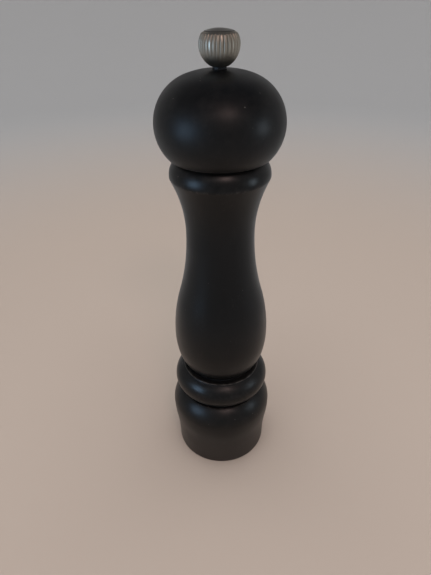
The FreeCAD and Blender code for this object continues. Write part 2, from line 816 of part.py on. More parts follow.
def tooth_cut(body, name, sections, count):
    """Row of slanted V cuts: each runs straight between two triangles at different heights and turns.

    A section is (height, turn, apex radius, mouth radius, mouth width).
    """
    sketches = []
    for place, (height, turn, apex, mouth, width) in zip(("low", "high"), sections):
        sketch = new_sketch(body, f"{name}_{place}", "XY_Plane", height, turn)
        half = width / 2
        add_polygon(sketch, [(apex, 0), (mouth, half), (mouth, as_size(0) - half)])
        sketches.append(sketch)
    cut = body.newObject("PartDesign::SubtractiveLoft", f"{name}_cut")
    cut.Profile = sketches[0]
    cut.Sections = sketches[1:]
    cut.Ruled = True
    body.Tip = cut
    repeat_round(body, cut, count)


def make_rotor(doc, mm, at):
    """Inner grinder: spiral flutes on a cone that feed a band of fine slanted teeth."""
    body = new_body(doc, "rotor")
    outline = Outline(body, "rotor_section", (0, at.rotor_foot))
    outline.add_line(at.rotor_foot_radius, at.rotor_foot)
    outline.add_line(at.rotor_shoulder_radius, at.band_top)
    outline.add_line(at.rotor_top_radius, at.rotor_top)
    outline.add_line(at.pocket_radius, at.rotor_top)
    outline.add_line(at.pocket_radius, at.pocket_floor)
    outline.add_line(0, at.pocket_floor)
    outline.turn()

    sketch = new_sketch(body, "rotor_square", "XY_Plane", at.pocket_floor)
    add_square(sketch, mm.shaft_width + mm.drive_clearance * 2)
    pocket = body.newObject("PartDesign::Pocket", "rotor_hole")
    pocket.Profile = sketch
    pocket.Type = "ThroughAll"
    body.Tip = pocket

    slant = mm.tooth_twist
    straight = as_size(0)
    margin = mm.tooth_depth / 2
    tooth_cut(
        body,
        "rotor_tooth",
        [
            (
                at.rotor_foot - margin,
                straight,
                at.rotor_foot_radius - mm.tooth_depth,
                at.rotor_foot_radius + mm.tooth_depth,
                mm.tooth_width * 2,
            ),
            (
                at.band_top + margin,
                slant,
                at.rotor_shoulder_radius - mm.tooth_depth,
                at.rotor_shoulder_radius + mm.tooth_depth,
                mm.tooth_width * 2,
            ),
        ],
        mm.rotor_tooth_count,
    )
    tooth_cut(
        body,
        "rotor_spiral",
        [
            (
                at.band_top + mm.spiral_land,
                straight,
                at.rotor_shoulder_radius - mm.spiral_depth,
                at.rotor_shoulder_radius + mm.spiral_depth,
                mm.spiral_width * 2,
            ),
            (
                at.rotor_top + margin,
                mm.spiral_twist,
                at.rotor_top_radius - mm.spiral_depth,
                at.rotor_top_radius + mm.spiral_depth,
                mm.spiral_width * 2,
            ),
        ],
        mm.spiral_count,
    )
    return body


def make_stator(doc, mm, at):
    """Outer grinder: a funnel with spiral gullies above a band of fine slanted teeth."""
    body = new_body(doc, "stator")
    outline = Outline(body, "stator_section", (mm.outlet_radius, mm.recess_depth))
    outline.add_line(at.stator_radius, mm.recess_depth)
    outline.add_line(at.stator_radius, at.stator_top)
    outline.add_line(at.stator_mouth, at.stator_top)
    outline.add_line(at.throat_radius, at.band_top)
    outline.turn()

    slant = as_size(0) - mm.tooth_twist
    sweep = as_size(0) - mm.spiral_twist
    straight = as_size(0)
    margin = mm.tooth_depth / 2
    tooth_cut(
        body,
        "stator_tooth",
        [
            (
                mm.recess_depth - margin,
                straight,
                mm.outlet_radius + mm.tooth_depth,
                mm.outlet_radius - mm.tooth_depth,
                mm.tooth_width * 2,
            ),
            (
                at.band_top + margin,
                slant,
                at.throat_radius + mm.tooth_depth,
                at.throat_radius - mm.tooth_depth,
                mm.tooth_width * 2,
            ),
        ],
        mm.stator_tooth_count,
    )
    tooth_cut(
        body,
        "stator_gully",
        [
            (
                at.band_top + mm.spiral_land,
                straight,
                at.throat_radius + mm.spiral_depth,
                at.throat_radius - mm.spiral_depth,
                mm.spiral_width * 2,
            ),
            (
                at.stator_top + margin,
                sweep,
                at.stator_mouth + mm.spiral_depth,
                at.stator_mouth - mm.spiral_depth,
                mm.spiral_width * 2,
            ),
        ],
        mm.spiral_count,
    )
    notch_row(body, mm, at)
    return body


def notch_row(body, mm, at):
    """Notches in the stator's lower edge, which the retaining plate's tabs key into."""
    gap = mm.tab_clearance
    half = mm.tab_width / 2 + gap
    inner = at.stator_radius - mm.tab_thickness - gap
    outer = at.stator_radius + mm.tab_thickness
    sketch = new_sketch(body, "stator_notch", "XY_Plane", mm.recess_depth)
    minus = as_size(0) - half
    add_polygon(sketch, [(inner, minus), (outer, minus), (outer, half), (inner, half)])
    pocket = body.newObject("PartDesign::Pocket", "notch")
    pocket.Profile = sketch
    pocket.Reversed = True
    depth = mm.tab_height + gap
    pocket.Length = depth.value
    pocket.setExpression("Length", depth.text)
    body.Tip = pocket
    repeat_round(body, pocket, mm.screw_count)


def make_bridge(doc, mm, at):
    """Steel plate over the stator: a rim, a hub around the shaft and legs between them."""
    body = new_body(doc, "bridge")
    foot = at.stator_top
    top = at.bridge_top
    turned_block(body, "bridge_rim", at.stator_mouth, at.stator_radius, foot, top).turn()
    sketch = new_sketch(body, "bridge_leg", "XY_Plane", foot)
    inner = at.bridge_bore + mm.bridge_hub_wall / 2
    outer = at.stator_mouth + mm.stator_rim / 2
    half = mm.bridge_leg_width / 2
    minus = as_size(0) - half
    add_polygon(sketch, [(inner, minus), (outer, minus), (outer, half), (inner, half)])
    repeat_round(body, pad(body, sketch, mm.bridge_thickness), mm.bridge_leg_count)
    turned_block(body, "bridge_hub", at.bridge_bore, at.bridge_bore + mm.bridge_hub_wall, foot, top).turn()
    return body


def make_thrust_washer(doc, mm, at):
    """Washer that turns with the shaft under the bridge and takes the spring's upper end."""
    hole = mm.shaft_width + mm.drive_clearance * 2
    return square_holed_disc(
        doc, "thrust_washer", at.pocket_radius, hole, at.washer_foot, mm.washer_thickness
    )


def helix_point(radius, rise, angle, foot):
    """Point and unit tangent of a helix at an angle in radians."""
    slope = rise / math.tau
    point = FreeCAD.Vector(radius * math.cos(angle), radius * math.sin(angle), foot + slope * angle)
    tangent = FreeCAD.Vector(-radius * math.sin(angle), radius * math.cos(angle), slope)
    return point, tangent.normalize()


def biarc(start, start_way, end, end_way):
    """Two arcs that leave one point and reach another along given unit tangents."""
    reach = end - start
    ways = start_way + end_way
    bend = 2 * (1 - start_way.dot(end_way))
    pull = reach.dot(ways)
    arm = (-pull + math.sqrt(pull * pull + bend * reach.dot(reach))) / bend
    first_knee = start + start_way * arm
    last_knee = end - end_way * arm
    middle = (first_knee + last_knee) * 0.5
    edges = []
    for near, knee, far in ((start, first_knee, middle), (middle, last_knee, end)):
        weight = near.distanceToPoint(far) / (2 * near.distanceToPoint(knee))
        crown = (near + knee * (2 * weight) + far) * (1 / (2 + 2 * weight))
        edges.append(Part.Arc(near, crown, far).toShape())
    return edges


def make_spring(doc, mm, at):
    """Coil spring between the rotor's pocket and the thrust washer, one unbroken wire."""
    wire = mm.spring_wire.value
    radius = at.spring_radius.value
    turns = mm.spring_turns.value
    foot = at.pocket_floor.value + mm.spring_end_gap.value + wire / 2
    top = at.washer_foot.value - mm.spring_end_gap.value - wire / 2
    rise = (top - foot) / turns
    quarters = round(turns * 4)
    edges = []
    for quarter in range(quarters):
        start = helix_point(radius, rise, quarter * math.pi / 2, foot)
        end = helix_point(radius, rise, (quarter + 1) * math.pi / 2, foot)
        edges.extend(biarc(*start, *end))
    path = Part.Wire(edges)
    point, tangent = helix_point(radius, rise, 0, foot)
    ring = Part.Wire(Part.makeCircle(wire / 2, point, tangent))
    spring = doc.addObject("Part::Feature", "spring")
    spring.Label = "spring"
    spring.Shape = path.makePipeShell([ring], True, False)
    spring.Placement = FreeCAD.Placement()
    print(f"spring: least gap to itself {least_coil_gap(path, wire, rise):.2f} mm")
    return spring


def least_coil_gap(path, wire, rise):
    """Smallest distance between the wire's surfaces on points at least half a turn apart."""
    points = path.discretize(Number=COIL_POINTS)
    turn_points = len(points) * rise / (points[-1].z - points[0].z)
    skip = int(turn_points / 2)
    least = min(
        points[i].distanceToPoint(points[j])
        for i in range(len(points))
        for j in range(i + skip, len(points))
    )
    return least - wire


def make_rotor_washer(doc, mm, at):
    """Washer on the stud that carries the rotor."""
    body = new_body(doc, "rotor_washer")
    turned_block(
        body,
        "washer_section",
        at.stud_hole_radius,
        mm.rotor_washer_radius,
        at.rotor_washer_foot,
        at.rotor_foot,
    ).turn()
    return body


def make_rotor_nut(doc, mm, at):
    """Hexagon nut on the stud."""
    body = new_body(doc, "rotor_nut")
    sketch = new_sketch(body, "nut_hexagon", "XY_Plane", at.nut_foot)
    half = mm.nut_width / 2
    corner = mm.nut_width / math.sqrt(3)
    minus_half = as_size(0) - half
    minus_corner = as_size(0) - corner
    side = corner / 2
    minus_side = as_size(0) - side
    add_polygon(
        sketch,
        [
            (corner, 0),
            (side, half),
            (minus_side, half),
            (minus_corner, 0),
            (minus_side, minus_half),
            (side, minus_half),
        ],
    )
    add_circle(sketch, at.stud_hole_radius)
    pad(body, sketch, mm.nut_height)
    return body


def make_retaining_plate(doc, mm, at):
    """Steel ring under the stator, screwed to the recess floor; its tabs keep the stator from turning."""
    body = new_body(doc, "retaining_plate")
    foot = at.plate_foot
    inner = mm.outlet_radius + mm.plate_lip
    turned_block(body, "plate_ring", inner, at.plate_radius, foot, mm.recess_depth).turn()
    countersink(body, "plate_screw_holes", mm, at.screw_circle, foot, mm.recess_depth, mm.screw_count)
    sketch = new_sketch(body, "plate_tab", "XY_Plane", mm.recess_depth - at.plate_thickness / 2)
    half = mm.tab_width / 2
    minus = as_size(0) - half
    tab_inner = at.stator_radius - mm.tab_thickness
    add_polygon(
        sketch,
        [
            (tab_inner, minus),
            (at.stator_radius - mm.fit_gap, minus),
            (at.stator_radius - mm.fit_gap, half),
            (tab_inner, half),
        ],
    )
    repeat_round(body, pad(body, sketch, mm.tab_height + at.plate_thickness / 2), mm.screw_count)
    return body


def make_pieces(doc, mm, at):
    """All pieces of the mill, from the wood to the last screw."""
    return [
        make_body(doc, mm, at),
        make_head(doc, mm, at),
        make_knob(doc, mm, at),
        make_knob_cap(doc, mm, at),
        make_knob_bush(doc, mm, at),
        make_head_bush(doc, mm, at),
        make_drive_plate(doc, mm, at),
        make_screws(
            doc, "drive_plate_screws", mm, mm.drive_screw_circle, at.drive_plate_foot, mm.drive_screw_count
        ),
        make_drive_shaft(doc, mm, at),
        make_bridge(doc, mm, at),
        make_thrust_washer(doc, mm, at),
        make_spring(doc, mm, at),
        make_rotor(doc, mm, at),
        make_stator(doc, mm, at),
        make_rotor_washer(doc, mm, at),
        make_rotor_nut(doc, mm, at),
        make_retaining_plate(doc, mm, at),
        make_screws(doc, "retaining_screws", mm, at.screw_circle, at.plate_foot, mm.screw_count),
    ]


def check_document(doc):
    """Stop if any object of the document failed to compute."""
    for item in doc.Objects:
        if "Invalid" in item.State or "Error" in item.State:
            raise RuntimeError(f"{item.Label}: {item.State}")


def check_piece(piece):
    """Stop if a piece has no valid solid."""
    shape = piece.Shape
    if shape.isNull() or not shape.isValid() or not shape.Solids:
        raise RuntimeError(f"{piece.Label}: no valid solid")


def main():
    """Build the mill and write one file per piece."""
    doc = FreeCAD.newDocument("PepperMill")
    mm = Sheet(doc, SIZES)
    pieces = make_pieces(doc, mm, Levels(mm))
    doc.recompute()
    check_document(doc)
    for piece in pieces:
        check_piece(piece)
    os.makedirs("parts", exist_ok=True)
    for piece in pieces:
        piece.Shape.exportStep(f"parts/{piece.Label}.step")
        print(f"{piece.Label}: {len(piece.Shape.Solids)} solids, {piece.Shape.Volume:.1f} mm3")


if __name__ == "__main__":
    main()
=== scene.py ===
"""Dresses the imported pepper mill: lacquered turned wood, a fluted knob and a steel mechanism."""

import logging
import math
from dataclasses import dataclass, field
from enum import Enum
from typing import Any

import bpy
import numpy as np
from mathutils import Matrix, Vector


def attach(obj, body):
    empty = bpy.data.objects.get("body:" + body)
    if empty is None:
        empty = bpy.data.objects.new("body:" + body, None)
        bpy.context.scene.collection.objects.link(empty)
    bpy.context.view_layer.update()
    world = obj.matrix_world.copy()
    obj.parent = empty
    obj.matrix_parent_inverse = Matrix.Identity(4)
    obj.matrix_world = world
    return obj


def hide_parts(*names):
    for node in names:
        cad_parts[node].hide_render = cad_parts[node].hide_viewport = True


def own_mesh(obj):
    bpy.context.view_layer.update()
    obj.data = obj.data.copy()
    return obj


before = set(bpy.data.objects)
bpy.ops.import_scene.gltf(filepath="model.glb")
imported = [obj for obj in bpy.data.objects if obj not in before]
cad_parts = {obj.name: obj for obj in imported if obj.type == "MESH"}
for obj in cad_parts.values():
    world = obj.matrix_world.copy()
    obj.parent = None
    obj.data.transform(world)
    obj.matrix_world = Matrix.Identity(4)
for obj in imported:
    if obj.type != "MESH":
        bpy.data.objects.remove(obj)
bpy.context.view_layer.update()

LOG = logging.getLogger("pepper_mill")
TURN = 2.0 * math.pi
# A millimetre in metres, and the spacing of a section's samples in mm.
MM = 0.001
STEP = 0.02

Pair = tuple[float, float]
Colour = tuple[float, float, float]


class Upright(Enum):
    """Which end of a bow stands upright."""

    START = "start"
    END = "end"


class Ends(Enum):
    """How the rows of a ring grid end."""

    LOOP = "the last row joins the first"
    POLES = "both ends close on the axis"
    OPEN = "both ends stay open"


class Glow(Enum):
    """What a lamp's light does."""

    FILL = "lights matt surfaces and stays out of gloss"
    GLINT = "shows in gloss alone"
    FULL = "lights matt surfaces and shows in gloss"


def smooth_step(low: float, high: float, value: np.ndarray) -> np.ndarray:
    """Cubic ease from 0 at low to 1 at high."""
    share = np.clip((value - low) / (high - low), 0.0, 1.0)
    return share * share * (3.0 - 2.0 * share)


def soft_min(first: np.ndarray, second: np.ndarray, width: float) -> np.ndarray:
    """The smaller of two values, rounded where they differ by less than width."""
    near = np.clip(width - np.abs(first - second), 0.0, None) / width
    return np.minimum(first, second) - near * near * width / 4.0


def round_angles(columns: int) -> np.ndarray:
    """One row of angles, spaced evenly over a full turn."""
    return np.linspace(0.0, TURN, columns, endpoint=False)[None, :]


def blur(values: np.ndarray, spread: float, pad_mode: str, **pad: Any) -> np.ndarray:
    """Gaussian mean along a row of samples, reaching four deviations each way.

    Args:
        values: One value per sample.
        spread: Standard deviation, in samples.
        pad_mode: How numpy carries the row on past its ends.
        **pad: More settings for numpy's pad.

    Returns:
        The blurred row, of the same length.
    """
    reach = int(4.0 * spread) + 1
    offsets = np.arange(-reach, reach + 1)
    kernel = np.exp(-0.5 * (offsets / spread) ** 2)
    padded = np.pad(values, reach, mode=pad_mode, **pad)
    return np.convolve(padded, kernel / kernel.sum(), "valid")


@dataclass
class Outline:
    """Rows of a turned piece: radius and height in mm, and what each row carries for its finish."""

    radius: np.ndarray
    height: np.ndarray
    cover: np.ndarray
    edge: np.ndarray
    crease: np.ndarray
    ends: Ends


class Section:
    """Half section of a turned piece, drawn with a pen in (radius, height), in mm.

    The solid lies to the left of the pen's way. The spreads are those of the blurs along the
    section, in mm, and an arris or a crease counts in full at the turning per mm given here.
    """

    COVER_SPREAD = 0.4
    ROW_SPREAD = 0.15
    EDGE_SPREAD, EDGE_FULL = 0.08, 1.6
    CREASE_SPREAD, CREASE_FULL = 0.35, 0.7
    FEWEST_ROWS = 12

    def __init__(self, start: Pair, cover: float = 1.0) -> None:
        """Puts the pen down.

        Args:
            start: Where the pen starts.
            cover: 1 where the surface is lacquered and 0 where it is bare.
        """
        self.pen = np.array(start, dtype=float)
        self.cover = cover
        self.runs: list[np.ndarray] = []
        self.covers: list[np.ndarray] = []

    def lay(self, points: np.ndarray) -> "Section":
        """Adds a run of points and leaves the pen at its end.

        Args:
            points: The run, with one point per row.

        Returns:
            This section.
        """
        self.runs.append(points)
        self.covers.append(np.full(len(points), self.cover))
        self.pen = points[-1]
        return self

    def line(self, *corners: Pair) -> "Section":
        """Straight lines from the pen through the corners.

        Args:
            *corners: The corners, in order.

        Returns:
            This section.
        """
        for corner in corners:
            end = np.array(corner, dtype=float)
            count = max(2, int(np.linalg.norm(end - self.pen) / STEP) + 1)
            self.lay(np.linspace(self.pen, end, count))
        return self

    def arc(self, centre: np.ndarray, end: np.ndarray) -> "Section":
        """Arc from the pen, the short way round.

        Each point is the centre plus a radius that turns evenly from the pen to the end.

        Args:
            centre: Middle of the arc.
            end: Where it ends.

        Returns:
            This section.
        """
        first, last = self.pen - centre, end - centre
        start_angle = math.atan2(first[1], first[0])
        sweep = (math.atan2(last[1], last[0]) - start_angle + math.pi) % TURN - math.pi
        radius = float(np.linalg.norm(first))
        count = max(3, int(radius * abs(sweep) / STEP) + 1)
        angle = start_angle + np.linspace(0.0, sweep, count)
        return self.lay(centre + radius * np.stack([np.cos(angle), np.sin(angle)], axis=1))

    def bow(self, end: Pair, upright: Upright) -> "Section":
        """One arc that stands upright at one end: its centre lies level with that end.

        Its radius is the squared distance between the ends over twice its level part.

        Args:
            end: Where it ends.
            upright: Which of its ends stands upright.

        Returns:
            This section.
        """
        to = np.array(end, dtype=float)
        base, other = (self.pen, to) if upright is Upright.START else (to, self.pen)
        way = other - base
        return self.arc(np.array([base[0] + way @ way / (2.0 * way[0]), base[1]]), to)

    def wave(self, end: Pair, bulge: float) -> "Section":
        """Two arcs that meet smoothly and stand upright at both ends.

        Their radii add up to the squared distance between the ends over twice its level part.

        Args:
            end: Where the second arc ends.
            bulge: Radius of the arc at the wider end.

        Returns:
            This section.
        """
        to = np.array(end, dtype=float)
        way = to - self.pen
        both = way @ way / (2.0 * abs(way[0]))
        side = math.copysign(1.0, way[0])
        first = both - bulge if side > 0.0 else bulge
        first_centre = self.pen + np.array([side * first, 0.0])
        last_centre = to - np.array([side * (both - first), 0.0])
        middle = first_centre + (last_centre - first_centre) * first / both
        return self.arc(first_centre, middle).arc(last_centre, to)

    def shoulder(self, end: Pair, side: float) -> "Section":
        """An arc that starts upright, and one that carries it on to lie level at the end.

        The second centre lies straight below the end, at the radius with which the circles touch.

        Args:
            end: Where the second arc ends.
            side: Radius of the first arc.

        Returns:
            This section.
        """
        to = np.array(end, dtype=float)
        side_centre = self.pen - np.array([side, 0.0])
        across, up = to - side_centre
        top = (across * across + up * up - side * side) / (2.0 * (up - side))
        top_centre = to - np.array([0.0, top])
        way = (top_centre - side_centre) / np.linalg.norm(top_centre - side_centre)
        middle = side_centre + way * side * math.copysign(1.0, side - top)
        return self.arc(side_centre, middle).arc(top_centre, to)

    def lean(self, end: Pair, side: float, angle: float) -> "Section":
        """An arc that starts upright, and one that carries it on to the end.

        The second centre lies on the line through the first one and the meeting point, and its
        radius is the squared distance from there to the end over twice its part along that line.

        Args:
            end: Where the second arc ends.
            side: Radius of the first arc.
            angle: How far the first arc turns, in radians.

        Returns:
            This section.
        """
        to = np.array(end, dtype=float)
        way = np.array([math.cos(angle), math.sin(angle)])
        side_centre = self.pen - np.array([side, 0.0])
        middle = side_centre + side * way
        gap = to - middle
        rest = -(gap @ gap) / (2.0 * (gap @ way))
        return self.arc(side_centre, middle).arc(middle - rest * way, to)

    def swell(self, end: Pair, side: float, angle: float) -> "Section":
        """A tight arc, and one that carries it on to stand upright at the end.

        The first centre lies on the line through the second one and the meeting point, and its
        radius is the squared distance from the pen to there over twice its part along that line.

        Args:
            end: Where the second arc ends.
            side: Radius of the second arc.
            angle: How far the second arc turns, in radians.

        Returns:
            This section.
        """
        to = np.array(end, dtype=float)
        way = np.array([math.cos(angle), -math.sin(angle)])
        side_centre = to - np.array([side, 0.0])
        middle = side_centre + side * way
        gap = middle - self.pen
        tight = gap @ gap / (2.0 * (gap @ way))
        return self.arc(middle - tight * way, middle).arc(side_centre, to)

    def bare(self) -> "Section":
        """What follows is bare of lacquer."""
        self.cover = 0.0
        return self

    def outline(self, ends: Ends, soft: float, sag: float = 0.006, longest: float = 2.5) -> Outline:
        """Softens the arrises and spaces the rows by curvature.

        The section is sampled evenly and blurred along its length, which rounds each corner. The
        turning of its direction per mm is its curvature. A chord leaves the curve by an eighth of
        its squared length times the curvature, and rows are set so that this stays under sag.

        Args:
            ends: Whether the section closes on itself or on the axis.
            soft: Spread of the blur, in mm.
            sag: Most that a row's chord may leave the curve, in mm.
            longest: Longest step between rows, in mm.

        Returns:
            The rows with their lacquer cover, convex edges and concave creases.
        """
        looped = ends is Ends.LOOP
        if looped:
            self.line(tuple(self.runs[0][0]))
        path, cover = np.concatenate(self.runs), np.concatenate(self.covers)
        steps = np.linalg.norm(np.diff(path, axis=0), axis=1)
        along = np.concatenate([[0.0], np.cumsum(steps)])
        count = int(along[-1] / STEP)
        even = np.linspace(0.0, along[-1], count, endpoint=not looped)
        radius, height, cover = (np.interp(even, along, row) for row in (*path.T, cover))
        mode = "wrap" if looped else "reflect"
        past_axis = {} if looped else {"reflect_type": "odd"}
        radius = blur(radius, soft / STEP, mode, **past_axis)
        height = blur(height, soft / STEP, mode)
        cover = blur(cover, self.COVER_SPREAD / STEP, mode)
        if looped:
            slope = [np.gradient(np.pad(row, 1, mode="wrap"))[1:-1] for row in (radius, height)]
        else:
            slope = [np.gradient(row) for row in (radius, height)]
        way = np.unwrap(np.arctan2(slope[1], slope[0]))
        turning = np.gradient(way) / np.maximum(np.hypot(*slope), 1e-6)
        turning[[0, -1]] = turning[[1, -2]]
        density = np.maximum(1.0 / longest, np.sqrt(np.abs(turning) / (8.0 * sag)))
        filled = np.cumsum(blur(density, self.ROW_SPREAD / STEP, mode) * STEP)
        filled -= filled[0]
        rows = max(self.FEWEST_ROWS, int(filled[-1]))
        wanted = np.linspace(0.0, filled[-1], rows, endpoint=not looped)
        place = np.interp(wanted, filled, np.arange(count))
        edge = blur(turning, self.EDGE_SPREAD / STEP, mode) / self.EDGE_FULL
        crease = blur(-turning, self.CREASE_SPREAD / STEP, mode) / self.CREASE_FULL
        kept = (radius, height, cover, np.clip(edge, 0.0, 1.0), np.clip(crease, 0.0, 1.0))
        return Outline(*(np.interp(place, np.arange(count), row) for row in kept), ends)


@dataclass
class Shell:
    """One surface: points in mm, faces by point number, and values that its finish reads."""

    points: np.ndarray
    quads: np.ndarray
    tris: np.ndarray
    values: dict[str, np.ndarray] = field(default_factory=dict)


def ring_shell(grid: np.ndarray, ends: Ends, values: dict[str, np.ndarray]) -> Shell:
    """Surface over a grid of rings.

    Point (row, column) joins its neighbours in the next row and column, and the last column joins
    the first. A row that closes on the axis shrinks to one point, and triangles join it to the
    next row.

    Args:
        grid: Points in mm, rows by columns by 3. Rows run with the solid to their left, and
            columns run anticlockwise.
        ends: How the rows end.
        values: Rows by columns of values to keep on the points.

    Returns:
        The shell, with its faces outwards.
    """
    rows, columns = grid.shape[:2]
    pole = int(ends is Ends.POLES)
    count = rows - 2 * pole
    row = np.arange(count if ends is Ends.LOOP else count - 1)[:, None] * columns
    above = (row + columns) % (count * columns)
    column = np.arange(columns)[None, :]
    after = (column + 1) % columns
    corners = np.broadcast_arrays(row + column, row + after, above + after, above + column)
    quads = np.stack(corners, axis=-1).reshape(-1, 4)
    points = grid[pole:rows - pole].reshape(-1, 3)
    kept = {name: value[pole:rows - pole].reshape(-1) for name, value in values.items()}
    tris = np.zeros((0, 3), dtype=int)
    if pole:
        top, around, onward = (count - 1) * columns, column[0], after[0]
        tip = np.full(columns, len(points))
        tris = np.concatenate([
            np.stack([tip, top + around, top + onward], axis=1),
            np.stack([tip + 1, onward, around], axis=1),
        ])
        points = np.concatenate([points, grid[-1:].mean(axis=1), grid[:1].mean(axis=1)])
        kept = {name: np.append(value, values[name][[-1, 0], 0]) for name, value in kept.items()}
    return Shell(points, quads, tris, kept)


def polar_shell(radius: np.ndarray, height: np.ndarray, ends: Ends, place: Pair = (0.0, 0.0),
                values: dict[str, np.ndarray] | None = None) -> Shell:
    """Surface of rings about an upright line.

    x and y are those of the line plus the radius times the cosine and sine of the column's angle.

    Args:
        radius: Radius in mm, rows by columns.
        height: Height in mm, rows by columns.
        ends: How the rows end.
        place: Where the line stands, in x and y.
        values: Rows by columns of values to keep on the points.

    Returns:
        The shell, with its faces outwards.
    """
    angle = round_angles(radius.shape[1])
    x, y = place[0] + radius * np.cos(angle), place[1] + radius * np.sin(angle)
    return ring_shell(np.stack([x, y, height], axis=-1), ends, values or {})


def turned_shell(outline: Outline, columns: int) -> Shell:
    """Carries an outline round the axis, the same at every angle.

    Args:
        outline: Rows of the piece.
        columns: Points in each ring.

    Returns:
        The shell, with the outline's values on its points.
    """
    ring = np.ones((1, columns))
    values = {name: getattr(outline, name)[:, None] * ring for name in ("cover", "edge", "crease")}
    radius, height = outline.radius[:, None] * ring, outline.height[:, None] * ring
    return polar_shell(radius, height, outline.ends, values=values)


def thread_depth(height: np.ndarray, angle: np.ndarray, pitch: float) -> np.ndarray:
    """Share of a thread's depth, 0 on its crest and 1 in its root.

    The thread climbs one pitch each turn, so its phase is height over pitch less the turned share.
    The depth is a triangle wave of that phase with its crest and root cut flat, eased between.

    Args:
        height: Heights in mm.
        angle: Angles round the screw.
        pitch: Climb in one turn, in mm.

    Returns:
        The share at each height and angle.
    """
    crest, root = 0.125, 0.25
    phase = (height / pitch - angle / TURN) % 1.0
    return smooth_step(crest, 1.0 - root, np.abs(2.0 * phase - 1.0))


def make_piece(name: str, shells: list[Shell], material: bpy.types.Material) -> bpy.types.Object:
    """Puts shells into one smooth mesh at the origin, in metres, with their values as attributes.

    Args:
        name: Name of the piece.
        shells: Surfaces of the piece.
        material: Its finish.

    Returns:
        The new object, linked into the scene.
    """
    starts = np.cumsum([0] + [len(shell.points) for shell in shells])
    points = np.concatenate([shell.points for shell in shells]) * MM
    quads = np.concatenate([shell.quads + start for shell, start in zip(shells, starts)])
    tris = np.concatenate([shell.tris + start for shell, start in zip(shells, starts)])
    mesh = bpy.data.meshes.new(name)
    mesh.vertices.add(len(points))
    mesh.vertices.foreach_set("co", points.astype(np.float32).ravel())
    corners = np.concatenate([quads.ravel(), tris.ravel()]).astype(np.int32)
    mesh.loops.add(len(corners))
    mesh.loops.foreach_set("vertex_index", corners)
    sizes = np.concatenate([np.full(len(quads), 4), np.full(len(tris), 3)])
    mesh.polygons.add(len(sizes))
    mesh.polygons.foreach_set("loop_start", (np.cumsum(sizes) - sizes).astype(np.int32))
    mesh.polygons.foreach_set("use_smooth", np.ones(len(sizes), dtype=bool))
    mesh.update(calc_edges=True)
    for key in shells[0].values:
        layer = mesh.attributes.new(key, "FLOAT", "POINT")
        values = np.concatenate([shell.values[key] for shell in shells])
        layer.data.foreach_set("value", values.astype(np.float32))
    mesh.materials.append(material)
    piece = bpy.data.objects.new(name, mesh)
    bpy.context.scene.collection.objects.link(piece)
    return piece


def stand_for(piece: bpy.types.Object, node: str, body: str) -> None:
    """Rides a piece on its body in place of a node, which it hides, and reports it.

    Args:
        piece: The new piece.
        node: Node that it stands for.
        body: Body that it rides on.
    """
    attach(piece, body)
    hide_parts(node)
    LOG.info("%s stands for %s on %s, %d faces", piece.name, node, body, len(piece.data.polygons))


def dress_node(node: str, material: bpy.types.Material) -> None:
    """Gives a node that keeps its solid a finish, and reports it.

    Args:
        node: Name of the node.
        material: Its finish.
    """
    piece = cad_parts[node]
    for slot in piece.material_slots:
        slot.material = material
    LOG.info("%s keeps its solid, finish %s", node, material.name)


